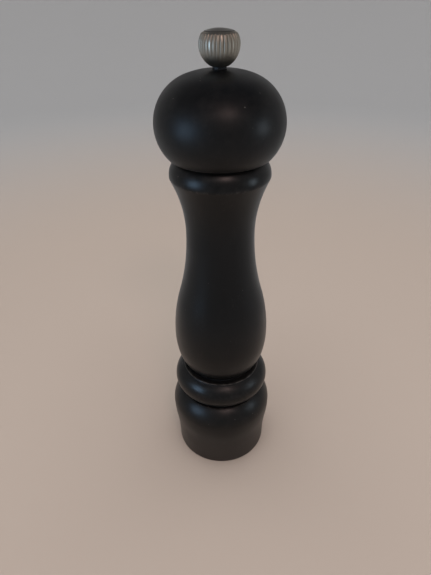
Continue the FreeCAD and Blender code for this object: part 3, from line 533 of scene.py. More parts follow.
class Wiring:
    """Adds nodes to one node tree and links them by the names of their sockets."""

    def __init__(self, tree: bpy.types.NodeTree) -> None:
        """Starts on an existing tree."""
        self.tree = tree

    def feed(self, socket: bpy.types.NodeSocket, value: Any) -> None:
        """Links another socket into this one, or sets its own value.

        Args:
            socket: Input to feed.
            value: Socket to link, or a number, vector or colour.
        """
        if isinstance(value, bpy.types.NodeSocket):
            self.tree.links.new(value, socket)
        elif socket.type == "RGBA" and len(value) == 3:
            socket.default_value = (*value, 1.0)
        else:
            socket.default_value = value

    def add(self, kind: str, inputs: dict[Any, Any] | None = None,
            **settings: Any) -> bpy.types.Node:
        """Adds a node.

        Args:
            kind: Its type, without the leading ShaderNode.
            inputs: Values or sockets for its inputs, by name or number.
            **settings: Its own settings.

        Returns:
            The node.
        """
        node = self.tree.nodes.new("ShaderNode" + kind)
        for name, value in settings.items():
            setattr(node, name, value)
        for name, value in (inputs or {}).items():
            self.feed(node.inputs[name], value)
        return node

    def math(self, operation: str, first: Any, second: Any = 0.0) -> bpy.types.NodeSocket:
        """Result of a Math node."""
        return self.add("Math", {0: first, 1: second}, operation=operation).outputs[0]

    def plus(self, first: Any, second: Any) -> bpy.types.NodeSocket:
        """Sum of two values."""
        return self.math("ADD", first, second)

    def minus(self, first: Any, second: Any) -> bpy.types.NodeSocket:
        """First value less the second."""
        return self.math("SUBTRACT", first, second)

    def times(self, first: Any, second: Any) -> bpy.types.NodeSocket:
        """Product of two values."""
        return self.math("MULTIPLY", first, second)

    def larger(self, first: Any, second: Any) -> bpy.types.NodeSocket:
        """The larger of two values."""
        return self.math("MAXIMUM", first, second)

    def ease(self, value: Any, low: float, high: float, to: Pair = (0.0, 1.0)) -> Any:
        """Smooth ramp of a value from low to high onto the two values of to."""
        ends = {"From Min": low, "From Max": high, "To Min": to[0], "To Max": to[1]}
        return self.add("MapRange", {"Value": value, **ends},
                        interpolation_type="SMOOTHSTEP").outputs["Result"]

    def noise(self, vector: Any, scale: Any, detail: float = 3.0, rough: float = 0.5) -> Any:
        """Value of a noise texture."""
        inputs = {"Vector": vector, "Scale": scale, "Detail": detail, "Roughness": rough}
        return self.add("TexNoise", inputs).outputs["Fac"]

    def stretch(self, vector: Any, scale: Colour) -> Any:
        """Vector with its axes scaled."""
        return self.add("Mapping", {"Vector": vector, "Scale": scale}).outputs["Vector"]

    def mix(self, share: Any, first: Any, second: Any) -> Any:
        """Mix of two colours."""
        return self.add("Mix", {0: share, 6: first, 7: second}, data_type="RGBA").outputs[2]

    def bump(self, height: Any, distance: float, normal: Any = None) -> Any:
        """Normal of a Bump node, over another normal if there is one."""
        over = {} if normal is None else {"Normal": normal}
        return self.add("Bump", {"Height": height, "Distance": distance, **over}).outputs["Normal"]

    def attribute(self, name: str) -> Any:
        """Value of a piece's own attribute."""
        return self.add("Attribute", attribute_name=name).outputs["Fac"]

    def place(self, group: bpy.types.NodeTree, inputs: dict[str, Any]) -> Any:
        """Outputs of a shared effect."""
        return self.add("Group", inputs, node_tree=group).outputs


class Effect:
    """Starts a shared effect: a node group with named inputs and outputs."""

    def __init__(self, name: str, inputs: dict[str, float], outputs: list[str]) -> None:
        """Makes the group and its sockets, with a vector as its first input.

        Args:
            name: Name of the effect.
            inputs: Default of each further input.
            outputs: Names of its values.
        """
        self.group = bpy.data.node_groups.new(name, "ShaderNodeTree")
        new_socket = self.group.interface.new_socket
        new_socket(name="Vector", in_out="INPUT", socket_type="NodeSocketVector")
        for key, value in inputs.items():
            socket = new_socket(name=key, in_out="INPUT", socket_type="NodeSocketFloat")
            socket.default_value = value
        for key in outputs:
            new_socket(name=key, in_out="OUTPUT", socket_type="NodeSocketFloat")
        self.wire = Wiring(self.group)
        self.given = self.group.nodes.new("NodeGroupInput").outputs
        self.result = self.group.nodes.new("NodeGroupOutput").inputs


def turning_marks() -> bpy.types.NodeTree:
    """Fine rings left by a lathe: noise over radius and height, hardly changing round the axis.

    Returns:
        The node group.
    """
    effect = Effect("turning_marks", {"Pitch": 3000.0, "Waver": 30.0}, ["Height", "Mask"])
    wire, given = effect.wire, effect.given
    x, y, z = wire.add("SeparateXYZ", {0: given["Vector"]}).outputs
    across = wire.math("SQRT", wire.plus(wire.math("POWER", x, 2.0), wire.math("POWER", y, 2.0)))
    rings = wire.add("CombineXYZ", {
        0: wire.times(across, given["Pitch"]),
        1: wire.times(z, given["Pitch"]),
        2: wire.times(wire.plus(x, y), given["Waver"]),
    }).outputs[0]
    ridge = (0.42, 0.66)
    fine = wire.noise(rings, 1.0, detail=3.0, rough=0.6)
    wire.feed(effect.result["Height"], fine)
    wire.feed(effect.result["Mask"], wire.ease(fine, *ridge))
    return effect.group


def cloudiness() -> bpy.types.NodeTree:
    """Slow uneven patches, as handling and polishing leave them, and a finer grain.

    Returns:
        The node group.
    """
    effect = Effect("cloudiness", {"Patch": 60.0, "Grain": 2500.0}, ["Patches", "Fine"])
    wire, given = effect.wire, effect.given
    patch_cut = (0.3, 0.7)
    slow = wire.noise(given["Vector"], given["Patch"], detail=4.0, rough=0.55)
    fine = wire.noise(given["Vector"], given["Grain"], detail=2.0, rough=0.5)
    wire.feed(effect.result["Patches"], wire.ease(slow, *patch_cut))
    wire.feed(effect.result["Fine"], fine)
    return effect.group


def dust_film() -> bpy.types.NodeTree:
    """Specks and a thin film of dust, more of it on faces that look up and in creases.

    A speck is a dot in the middle of a cell, and few cells have one. The film is noise on faces
    that look up, and the crease's own value.

    Returns:
        The node group.
    """
    effect = Effect("dust_film", {"Size": 900.0, "Amount": 0.3, "Crease": 0.0}, ["Mask", "Specks"])
    wire, given = effect.wire, effect.given
    dot, chosen = (0.22, 0.1), (0.955, 0.965)
    speck_lean, film_lean = (-0.2, 0.6), (0.1, 0.95)
    film_scale, film_share, crease_share = 220.0, 0.25, 0.6
    spots = {"Vector": given["Vector"], "Scale": given["Size"], "Randomness": 1.0}
    cells = wire.add("TexVoronoi", spots).outputs
    chance = wire.add("SeparateColor", {0: cells["Color"]}).outputs[0]
    dots = wire.times(wire.ease(cells["Distance"], *dot), wire.ease(chance, *chosen))
    up = wire.add("SeparateXYZ", {0: wire.add("NewGeometry").outputs["Normal"]}).outputs[2]
    specks = wire.times(dots, wire.ease(up, *speck_lean))
    uneven = wire.noise(given["Vector"], film_scale, detail=4.0, rough=0.65)
    settled = wire.times(wire.ease(up, *film_lean), uneven)
    dust_and_sheen = wire.plus(wire.times(settled, film_share), wire.times(given["Crease"], crease_share))
    wire.feed(effect.result["Mask"], wire.times(dust_and_sheen, given["Amount"]))
    wire.feed(effect.result["Specks"], wire.times(specks, given["Amount"]))
    return effect.group


def fine_scratches() -> bpy.types.NodeTree:
    """Hairline scratches: two crossed stretched noises, cut to thin lines and broken into lengths.

    Returns:
        The node group.
    """
    effect = Effect("fine_scratches", {"Scale": 500.0, "Amount": 0.5}, ["Mask"])
    wire, given = effect.wire, effect.given
    turns, drawn_out = ((0.4, 0.9, 0.2), (1.3, -0.5, 1.0)), (1.0, 1.0, 0.02)
    half_width, length_scale, length_cut = 0.012, 90.0, (0.5, 0.62)
    lines = []
    for turn in turns:
        turned = {"Vector": given["Vector"], "Rotation": turn, "Scale": drawn_out}
        crossed = wire.add("Mapping", turned).outputs["Vector"]
        middle = wire.minus(wire.noise(crossed, given["Scale"], detail=1.0, rough=0.4), 0.5)
        lines.append(wire.ease(wire.math("ABSOLUTE", middle), half_width, 0.0))
    broken = wire.noise(given["Vector"], length_scale, detail=2.0, rough=0.5)
    both = wire.times(wire.larger(*lines), wire.ease(broken, *length_cut))
    wire.feed(effect.result["Mask"], wire.times(both, given["Amount"]))
    return effect.group


def worn_edge() -> bpy.types.NodeTree:
    """Wear along arrises: the piece's own edge value, broken by noise.

    Returns:
        The node group.
    """
    effect = Effect("worn_edge", {"Edge": 0.0, "Amount": 0.5}, ["Mask"])
    wire, given = effect.wire, effect.given
    chip_scale, chip_cut = 350.0, (0.35, 0.75)
    broken = wire.ease(wire.noise(given["Vector"], chip_scale, detail=5.0, rough=0.7), *chip_cut)
    worn = wire.times(wire.times(given["Edge"], broken), given["Amount"])
    wire.feed(effect.result["Mask"], worn)
    return effect.group


class Effects:
    """The shared effects, each built once."""

    def __init__(self) -> None:
        """Builds every effect's node group."""
        self.marks = turning_marks()
        self.clouds = cloudiness()
        self.dust = dust_film()
        self.scratches = fine_scratches()
        self.edges = worn_edge()


def new_material(name: str, sockets: dict[str, Any]) -> tuple[bpy.types.Material, Wiring, Any, Any]:
    """Starts a material with one Principled shader.

    Args:
        name: Name of the finish.
        sockets: Values that are the same all over, by socket.

    Returns:
        The material, its wiring, the shader's inputs and the piece's own coordinates.
    """
    material = bpy.data.materials.new(name)
    material.use_nodes = True
    tree = material.node_tree
    tree.nodes.clear()
    wire = Wiring(tree)
    shader = wire.add("BsdfPrincipled", sockets)
    wire.add("OutputMaterial", {"Surface": shader.outputs["BSDF"]})
    return material, wire, shader.inputs, wire.add("TexCoord").outputs["Object"]


@dataclass(frozen=True)
class LacqueredBeech:
    """Satin black lacquer over turned beech, bare wood where the cover falls away inside the mill.

    Scales are per metre, heights and the depths of the relief are in metres.
    """

    name: str
    satin: Pair
    # Share of the dust film in the colour; past real dust it paints a sheen on faces that look up.
    dust_and_sheen: float = 0.35
    black: Colour = (0.0010, 0.0013, 0.0018)
    thin: Colour = (0.0026, 0.0025, 0.0025)
    thin_share: float = 0.55
    # Painted sheen: the lacquer turns lighter and warmer towards the foot, standing in for the
    # floor's reflection on the lower base.
    low_sheen: Colour = (0.0360, 0.0315, 0.0290)
    low_sheen_top: float = 0.036
    handled_rough: float = 0.07
    handled_fade: Pair = (0.041, 0.03)
    # Colour of rubbed arrises and hairline scratches: real wear, made far lighter on the arrises as
    # a painted highlight.
    wear_and_glint: Colour = (0.15, 0.137, 0.128)
    dust: Colour = (0.42, 0.39, 0.36)
    wood_pale: Colour = (0.52, 0.345, 0.20)
    wood_dark: Colour = (0.36, 0.205, 0.105)
    bare_rough: float = 0.68
    specular: float = 0.26
    coat: Pair = (0.05, 0.02)
    coat_rough: float = 0.3
    coat_index: float = 1.5
    patch: float = 55.0
    grain: float = 2300.0
    pitch: float = 2600.0
    waver: float = 35.0
    marks_share: float = 0.55
    speck: float = 700.0
    speck_share: float = 4.0
    dust_amount: float = 0.06
    dust_rough: float = 0.5
    wear: float = 0.8
    wear_gloss: float = 0.10
    crease_rough: float = 0.4
    hair: float = 420.0
    hair_amount: float = 0.15
    hair_share: float = 0.3
    hair_depth: float = 0.4
    fibre: float = 0.05
    fray: float = 0.7
    fray_scale: float = 900.0
    fray_cut: Pair = (0.35, 0.65)
    figure: float = 0.12
    figure_scale: float = 260.0
    figure_cut: Pair = (0.3, 0.72)
    peel: float = 0.000004
    pore: float = 0.000012
    pore_scale: float = 2600.0
    pore_cut: Pair = (0.64, 0.74)
    pore_share: float = 0.55
    pore_show: float = 0.12

    def timber(self, wire: Wiring, own: Any, pores: Any) -> Any:
        """Colour of the bare beech: its figure along the grain, and darker pores.

        Args:
            wire: Wiring of the material.
            own: The piece's own coordinates.
            pores: Where the pores lie.

        Returns:
            The colour.
        """
        along = wire.stretch(own, (1.0, 1.0, self.figure))
        figure = wire.noise(along, self.figure_scale, detail=5.0, rough=0.6)
        wood = wire.mix(wire.ease(figure, *self.figure_cut), self.wood_pale, self.wood_dark)
        return wire.mix(wire.times(pores, self.pore_share), wood, self.wood_dark)

    def material(self, effects: Effects) -> bpy.types.Material:
        """Builds the finish.

        Args:
            effects: Shared effects.

        Returns:
            The material.
        """
        material, wire, shader, own = new_material(self.name, {
            "Specular IOR Level": self.specular,
            "Coat Roughness": self.coat_rough,
            "Coat IOR": self.coat_index,
        })
        edge, crease = wire.attribute("edge"), wire.attribute("crease")
        fibres = wire.stretch(own, (1.0, 1.0, self.fibre))
        uneven = wire.noise(fibres, self.fray_scale, detail=4.0, rough=0.6)
        frayed = wire.times(wire.minus(uneven, 0.5), self.fray)
        lacquer = wire.ease(wire.plus(wire.attribute("cover"), frayed), *self.fray_cut)
        clouds = wire.place(effects.clouds, {
            "Vector": own, "Patch": self.patch, "Grain": self.grain})
        marks = wire.place(effects.marks, {
            "Vector": own, "Pitch": self.pitch, "Waver": self.waver})
        dust = wire.place(effects.dust, {
            "Vector": own, "Size": self.speck, "Amount": self.dust_amount})
        worn = wire.place(effects.edges, {
            "Vector": own, "Edge": edge, "Amount": self.wear})["Mask"]
        hair = wire.place(effects.scratches, {
            "Vector": own, "Scale": self.hair, "Amount": self.hair_amount})["Mask"]
        pores = wire.noise(fibres, self.pore_scale, detail=2.0, rough=0.5)
        pores = wire.ease(pores, *self.pore_cut)
        height = wire.add("SeparateXYZ", {0: own}).outputs[2]

        painted = wire.mix(wire.times(clouds["Patches"], self.thin_share), self.black, self.thin)
        # Painted sheen: lighter and warmer towards the foot, for the floor's reflection on the
        # lower base.
        painted = wire.mix(wire.ease(height, self.low_sheen_top, 0.0), painted, self.low_sheen)
        # Arrises and scratches turn lighter: the scratches are wear, and the arrises' strength is a
        # painted highlight.
        wear_and_glint_mask = wire.larger(worn, wire.times(hair, self.hair_share))
        painted = wire.mix(wear_and_glint_mask, painted, self.wear_and_glint)
        # Dust film on faces that look up; on the body it is raised far past real dust, a painted
        # sheen on the shoulders of ring and base.
        painted = wire.mix(wire.times(dust["Mask"], self.dust_and_sheen), painted, self.dust)
        painted = wire.mix(wire.times(dust["Specks"], self.speck_share), painted, self.dust)
        wood = self.timber(wire, own, pores)
        wire.feed(shader["Base Color"], wire.mix(lacquer, wood, painted))

        satin = wire.ease(clouds["Patches"], 0.0, 1.0, self.satin)
        satin = wire.minus(satin, wire.times(worn, self.wear_gloss))
        satin = wire.plus(satin, wire.times(dust["Mask"], self.dust_rough))
        satin = wire.plus(satin, wire.times(crease, self.crease_rough))
        held = wire.ease(height, *self.handled_fade, (0.0, self.handled_rough))
        satin = wire.times(lacquer, wire.plus(satin, held))
        bare = wire.times(wire.minus(1.0, lacquer), self.bare_rough)
        wire.feed(shader["Roughness"], wire.plus(bare, satin))
        coat = wire.ease(clouds["Patches"], 0.0, 1.0, self.coat)
        wire.feed(shader["Coat Weight"], wire.times(lacquer, coat))

        relief = wire.plus(clouds["Fine"], wire.times(marks["Height"], self.marks_share))
        relief = wire.minus(relief, wire.times(hair, self.hair_depth))
        shown = wire.minus(1.0 + self.pore_show, lacquer)
        sunk = wire.minus(1.0, wire.times(pores, shown))
        normal = wire.bump(sunk, self.pore, wire.bump(relief, self.peel))
        wire.feed(shader["Normal"], normal)
        return material


@dataclass(frozen=True)
class Steel:
    """Steel finish: colour, gloss, how it was machined, how far dirt and wear show, and painted
    shade in creases.

    Scales are per metre, and the depths of marks and grain are in metres.
    """

    name: str
    colour: Colour
    shade: Colour
    rough: Pair
    pitch: float = 4200.0
    waver: float = 60.0
    marks: float = 0.000002
    marks_share: float = 0.25
    marks_rough: float = 0.12
    grain: float = 0.000001
    grain_scale: float = 5200.0
    patch: float = 120.0
    patch_share: float = 0.8
    hair: float = 900.0
    hair_depth: float = 0.8
    scratch: float = 0.5
    wear: float = 0.8
    wear_gain: float = 1.25
    wear_gloss: float = 0.08
    speck: float = 1400.0
    speck_share: float = 2.0
    speck_colour: Colour = (0.5, 0.48, 0.45)
    dust: float = 0.1
    dirt_and_shade: Colour = (0.05, 0.045, 0.04)
    dirt_share: float = 0.0
    dirt_rough: float = 0.2
    crumb_scale: float = 700.0
    crumb_cut: Pair = (0.62, 0.7)
    crumb_spread: float = 0.12
    crease_share: float = 0.75

    def shade_and_dirt(self, wire: Wiring, own: Any, crease: Any) -> Any:
        """How far the steel is darkened: painted shade in creases, and dirt in crumbs where the
        part is dirty.

        Args:
            wire: Wiring of the material.
            own: The piece's own coordinates.
            crease: Where the creases lie.

        Returns:
            The share of dirt.
        """
        # Painted shade: creases darken towards the dark dirt colour.
        held = wire.times(crease, self.crease_share)
        if self.dirt_share <= 0.0:
            return held
        low, high = self.crumb_cut
        crumbs = wire.noise(own, self.crumb_scale, detail=5.0, rough=0.7)
        crumbs = wire.ease(crumbs, low - self.crumb_spread * self.dirt_share, high)
        return wire.larger(held, wire.times(crumbs, self.dirt_share))

    def material(self, effects: Effects) -> bpy.types.Material:
        """Builds the finish.

        Args:
            effects: Shared effects.

        Returns:
            The material.
        """
        material, wire, shader, own = new_material(self.name, {"Metallic": 1.0})
        crease, edge = wire.attribute("crease"), wire.attribute("edge")
        marks = wire.place(effects.marks, {
            "Vector": own, "Pitch": self.pitch, "Waver": self.waver})
        clouds = wire.place(effects.clouds, {
            "Vector": own, "Patch": self.patch, "Grain": self.grain_scale})
        hair = wire.place(effects.scratches, {
            "Vector": own, "Scale": self.hair, "Amount": self.scratch})["Mask"]
        dust = wire.place(effects.dust, {
            "Vector": own, "Size": self.speck, "Amount": self.dust, "Crease": crease})
        worn = wire.place(effects.edges, {
            "Vector": own, "Edge": edge, "Amount": self.wear})["Mask"]
        # Share of painted crease shade and of real dirt crumbs.
        shade_and_dirt = self.shade_and_dirt(wire, own, crease)

        toned = wire.mix(wire.times(clouds["Patches"], self.patch_share), self.colour, self.shade)
        toned = wire.mix(wire.times(marks["Mask"], self.marks_share), toned, self.shade)
        bright = tuple(min(1.0, part * self.wear_gain) for part in self.colour)
        toned = wire.mix(shade_and_dirt, wire.mix(worn, toned, bright), self.dirt_and_shade)
        specks = wire.times(dust["Specks"], self.speck_share)
        wire.feed(shader["Base Color"], wire.mix(specks, toned, self.speck_colour))

        gloss = wire.ease(clouds["Patches"], 0.0, 1.0, self.rough)
        uneven = wire.minus(marks["Height"], 0.5)
        gloss = wire.plus(gloss, wire.times(uneven, self.marks_rough))
        gloss = wire.plus(gloss, wire.times(shade_and_dirt, self.dirt_rough))
        wire.feed(shader["Roughness"], wire.minus(gloss, wire.times(worn, self.wear_gloss)))

        relief = wire.minus(clouds["Fine"], wire.times(hair, self.hair_depth))
        normal = wire.bump(relief, self.grain, wire.bump(marks["Height"], self.marks))
        wire.feed(shader["Normal"], normal)
        return material


# The body's dust share of 1.6, far above the head's, paints a broad sheen on the shoulders that
# look up.
BODY_LACQUER = LacqueredBeech("body_lacquer", (0.29, 0.36), dust_and_sheen=1.6)
HEAD_LACQUER = LacqueredBeech("head_lacquer", (0.39, 0.46))
SATIN_STEEL = Steel(
    "satin_steel", (0.41, 0.37, 0.31), (0.33, 0.30, 0.25), (0.41, 0.47), dust=0.03)
# Darker than the ball's steel: painted shade for the dark overhead that the cap mirrors.
SHADED_CAP_STEEL = Steel(
    "shaded_cap_steel", (0.245, 0.226, 0.197), (0.195, 0.182, 0.16), (0.30, 0.38),
    pitch=5200.0, marks=0.000003)
# Nearly black: painted shade for the neck under the knob, which lies in shadow and mirrors the
# black head.
SHADED_TURNED_STEEL = Steel(
    "turned_steel", (0.045, 0.044, 0.044), (0.033, 0.033, 0.033), (0.54, 0.62), marks=0.000003)
PLATED_STEEL = Steel(
    "plated_steel", (0.46, 0.465, 0.47), (0.38, 0.385, 0.395), (0.42, 0.52),
    marks=0.0000004, grain=0.0000006, scratch=0.4, dust=0.03,
    dirt_and_shade=(0.16, 0.14, 0.12), dirt_share=0.15)
SCREW_STEEL = Steel(
    "screw_steel", (0.48, 0.42, 0.28), (0.40, 0.36, 0.26), (0.38, 0.48), patch=300.0, dust=0.03)
SHAFT_STEEL = Steel(
    "shaft_steel", (0.44, 0.44, 0.44), (0.37, 0.37, 0.375), (0.34, 0.42),
    marks=0.0000003, grain=0.0000004, patch=50.0, scratch=0.3, dust=0.03)
SPRING_STEEL = Steel(
    "spring_steel", (0.36, 0.36, 0.37), (0.28, 0.28, 0.29), (0.32, 0.40),
    marks=0.0000004, dust=0.03)
GRINDER_STEEL = Steel(
    "grinder_steel", (0.16, 0.158, 0.16), (0.10, 0.10, 0.104), (0.34, 0.5),
    marks=0.0000012, grain=0.000003, scratch=0.9,
    dirt_and_shade=(0.045, 0.032, 0.022), dirt_share=0.35)


@dataclass
class TurnedBody:
    """The wooden body, turned as one piece.

    Base, ring, belly, waist and collar lie outside, and socket, hopper and recesses inside.
    Points are (radius, height) in mm.
    """

    columns: int = 160
    soft: float = 0.22
    foot: Pair = (24.6, 0.7)
    base: tuple[Pair, Pair, Pair] = ((25.3, 2.8), (27.5, 30.3), (21.6, 41.1))
    base_bulge: float = 57.0
    base_side: float = 11.9
    base_lean: float = math.radians(25.0)
    lower_groove: tuple[Pair, Pair] = ((19.7, 40.9), (19.7, 43.0))
    ring: tuple[Pair, Pair] = ((25.4, 49.753), (20.5, 57.66))
    ring_side: float = 8.2
    ring_lean: float = math.radians(38.0)
    upper_groove: tuple[Pair, Pair, Pair] = ((20.5, 58.2), (17.0, 58.2), (17.0, 58.4))
    belly: Pair = (24.1, 80.148)
    belly_side: float = 50.0
    belly_angle: float = math.radians(13.0)
    waist: Pair = (15.9, 138.148)
    waist_bulge: float = 89.0
    collar: Pair = (22.1, 165.098)
    collar_bulge: float = 1.5
    rim: tuple[Pair, Pair] = ((18.3, 172.748), (15.0, 172.748))
    inside: tuple[Pair, ...] = (
        (15.0, 158.448), (11.5, 158.448), (11.5, 24.5), (14.6, 24.5),
        (14.6, 9.0), (20.0, 9.0), (20.0, 0.0))

    def section(self) -> Section:
        """Draws the half section from the foot up the outside and down the inside.

        Returns:
            The section, open where it started.
        """
        section = Section((self.foot[0], 0.0))
        section.arc(np.array(self.foot), np.array([self.base[0][0], self.foot[1]]))
        section.line(self.base[0]).wave(self.base[1], self.base_bulge)
        section.lean(self.base[2], self.base_side, self.base_lean)
        section.line(*self.lower_groove).bow(self.ring[0], Upright.END)
        section.lean(self.ring[1], self.ring_side, self.ring_lean)
        section.line(*self.upper_groove).swell(self.belly, self.belly_side, self.belly_angle)
        section.wave(self.waist, self.waist_bulge).wave(self.collar, self.collar_bulge)
        section.bow(self.rim[0], Upright.START).line(self.rim[1])
        return section.bare().line(*self.inside)

    def build(self, wood: bpy.types.Material) -> None:
        """Turns the body and puts it in place of its solid.

        Args:
            wood: Finish of the body.
        """
        outline = self.section().outline(Ends.LOOP, self.soft)
        piece = make_piece("turned_body", [turned_shell(outline, self.columns)], wood)
        stand_for(piece, "body", "body")


@dataclass
class TurnedHead:
    """The wooden head: a flattened ball on a tenon, with a bore for the shaft.

    Points are (radius, height) in mm.
    """

    columns: int = 160
    soft: float = 0.22
    tenon: tuple[Pair, ...] = (
        (4.19, 161.048), (13.9, 161.048), (14.7, 161.848), (14.7, 173.048))
    under: Pair = (21.6, 173.048)
    widest: Pair = (26.9, 186.148)
    side: float = 19.25
    crown: Pair = (2.9, 206.248)
    bore: tuple[Pair, Pair] = ((2.9, 198.248), (4.19, 198.248))

    def section(self) -> Section:
        """Draws the half section from the tenon's foot, out and over the ball, and down the bore.

        Returns:
            The section, open where it started.
        """
        section = Section(self.tenon[0], cover=0.0).line(*self.tenon[1:])
        section.cover = 1.0
        section.line(self.under).bow(self.widest, Upright.END).shoulder(self.crown, self.side)
        return section.bare().line(*self.bore)

    def build(self, wood: bpy.types.Material, turned: bpy.types.Material) -> None:
        """Turns the head, puts it in place of its solid and finishes the bush in its top.

        Args:
            wood: Finish of the head.
            turned: Finish of the bush, a steel darkened as painted shade.
        """
        outline = self.section().outline(Ends.LOOP, self.soft)
        piece = make_piece("turned_head", [turned_shell(outline, self.columns)], wood)
        stand_for(piece, "head", "head")
        dress_node("head_bush", turned)


@dataclass
class FlutedKnob:
    """The adjuster: a fluted ball with a capped top, on a threaded bush that shows as its neck.

    Points are (radius, height) in mm.
    """

    columns: int = 640
    soft: float = 0.07
    sag: float = 0.003
    longest: float = 0.35
    flutes: int = 32
    flute_half: float = 0.42
    flute_depth: float = 0.36
    flute_shade: float = 0.5
    corner_shade: float = 0.6
    edge_wear: float = 0.8
    path_reach: float = 8.55
    path_axis: float = -1.03
    path_height: float = 214.308
    neck: Pair = (3.42, 207.348)
    widest: Pair = (7.87, 214.748)
    shoulder: Pair = (6.78, 218.348)
    rim: tuple[Pair, ...] = ((5.75, 218.998), (5.62, 218.998), (5.62, 218.248), (0.0, 218.248))
    bore: tuple[Pair, ...] = ((0.0, 215.548), (2.72, 215.548), (2.72, 207.348))
    cap: tuple[Pair, ...] = ((0.0, 218.248), (5.6, 218.248), (5.6, 219.098))
    cap_top: float = 219.998
    cap_line: Pair = (5.2, 5.45)
    cap_columns: int = 160
    cap_soft: float = 0.1
    cap_sag: float = 0.002
    cap_longest: float = 0.3

    def ball(self) -> Shell:
        """Fluted ball.

        A round cutter moves on an arc wider than the ball, so a flute's deepest line lies at the
        arc's axis plus the leg of the triangle on the cutter's reach and on the height above the
        arc's middle. Beside that line the depth falls off with the squared cosine of the distance
        from it, and the lands between stay on the ball.

        Returns:
            The shell, with painted shade in its flutes and concave corners and wear on its edges.
        """
        section = Section(self.bore[0]).line(*self.bore[1:], self.neck)
        section.bow(self.widest, Upright.END).bow(self.shoulder, Upright.START).line(*self.rim)
        outline = section.outline(Ends.POLES, self.soft, self.sag, self.longest)
        angle = round_angles(self.columns)
        pitch = TURN / self.flutes
        ball, height = outline.radius[:, None], outline.height[:, None]
        offset = ball * np.sin((angle + pitch / 2.0) % pitch - pitch / 2.0)
        rise = height - self.path_height
        floor = self.path_axis + np.sqrt(np.clip(self.path_reach ** 2 - rise ** 2, 0.0, None))
        cut = np.cos(np.clip(offset / self.flute_half, -1.0, 1.0) * math.pi / 2.0) ** 2
        depth = np.clip(ball - floor, 0.0, self.flute_depth) * cut
        # Painted shade: the flutes darken with their depth, and the concave corners with their
        # crease.
        corners = outline.crease[:, None] * self.corner_shade
        values = {
            "crease": np.maximum(corners, self.flute_shade * depth / self.flute_depth),
            "edge": outline.edge[:, None] * np.full_like(angle, self.edge_wear),
        }
        return polar_shell(ball - depth, height * np.ones_like(angle), Ends.POLES, values=values)

    def disc(self) -> Shell:
        """Cap: a disc with a slightly domed top, whose arc lies level on the axis.

        Returns:
            The shell, with a painted shadow line round its edge.
        """
        edge = np.array(self.cap[-1])
        rise = self.cap_top - edge[1]
        dome = (edge[0] ** 2 + rise ** 2) / (2.0 * rise)
        section = Section(self.cap[0]).line(*self.cap[1:])
        section.arc(np.array([0.0, self.cap_top - dome]), np.array([0.0, self.cap_top]))
        outline = section.outline(Ends.POLES, self.cap_soft, self.cap_sag, self.cap_longest)
        shell = turned_shell(outline, self.cap_columns)
        reach = np.hypot(shell.points[:, 0], shell.points[:, 1])
        # Painted shadow: a dark ring near the cap's edge, where the gap to the knob's rim lies in
        # shade.
        shell.values["crease"] = smooth_step(*self.cap_line, reach)
        return shell

    def build(self, satin: bpy.types.Material, capped: bpy.types.Material,
              turned: bpy.types.Material) -> None:
        """Puts ball and cap in place of their solids and finishes the neck.

        Args:
            satin: Finish of the ball.
            capped: Finish of the cap, a steel darkened as painted shade.
            turned: Finish of the neck, a steel darkened as painted shade.
        """
        ball = make_piece("fluted_ball", [self.ball()], satin)
        stand_for(ball, "knob", "knob")
        disc = make_piece("top_disc", [self.disc()], capped)
        stand_for(disc, "knob_cap", "knob")
        dress_node("knob_bush", turned)


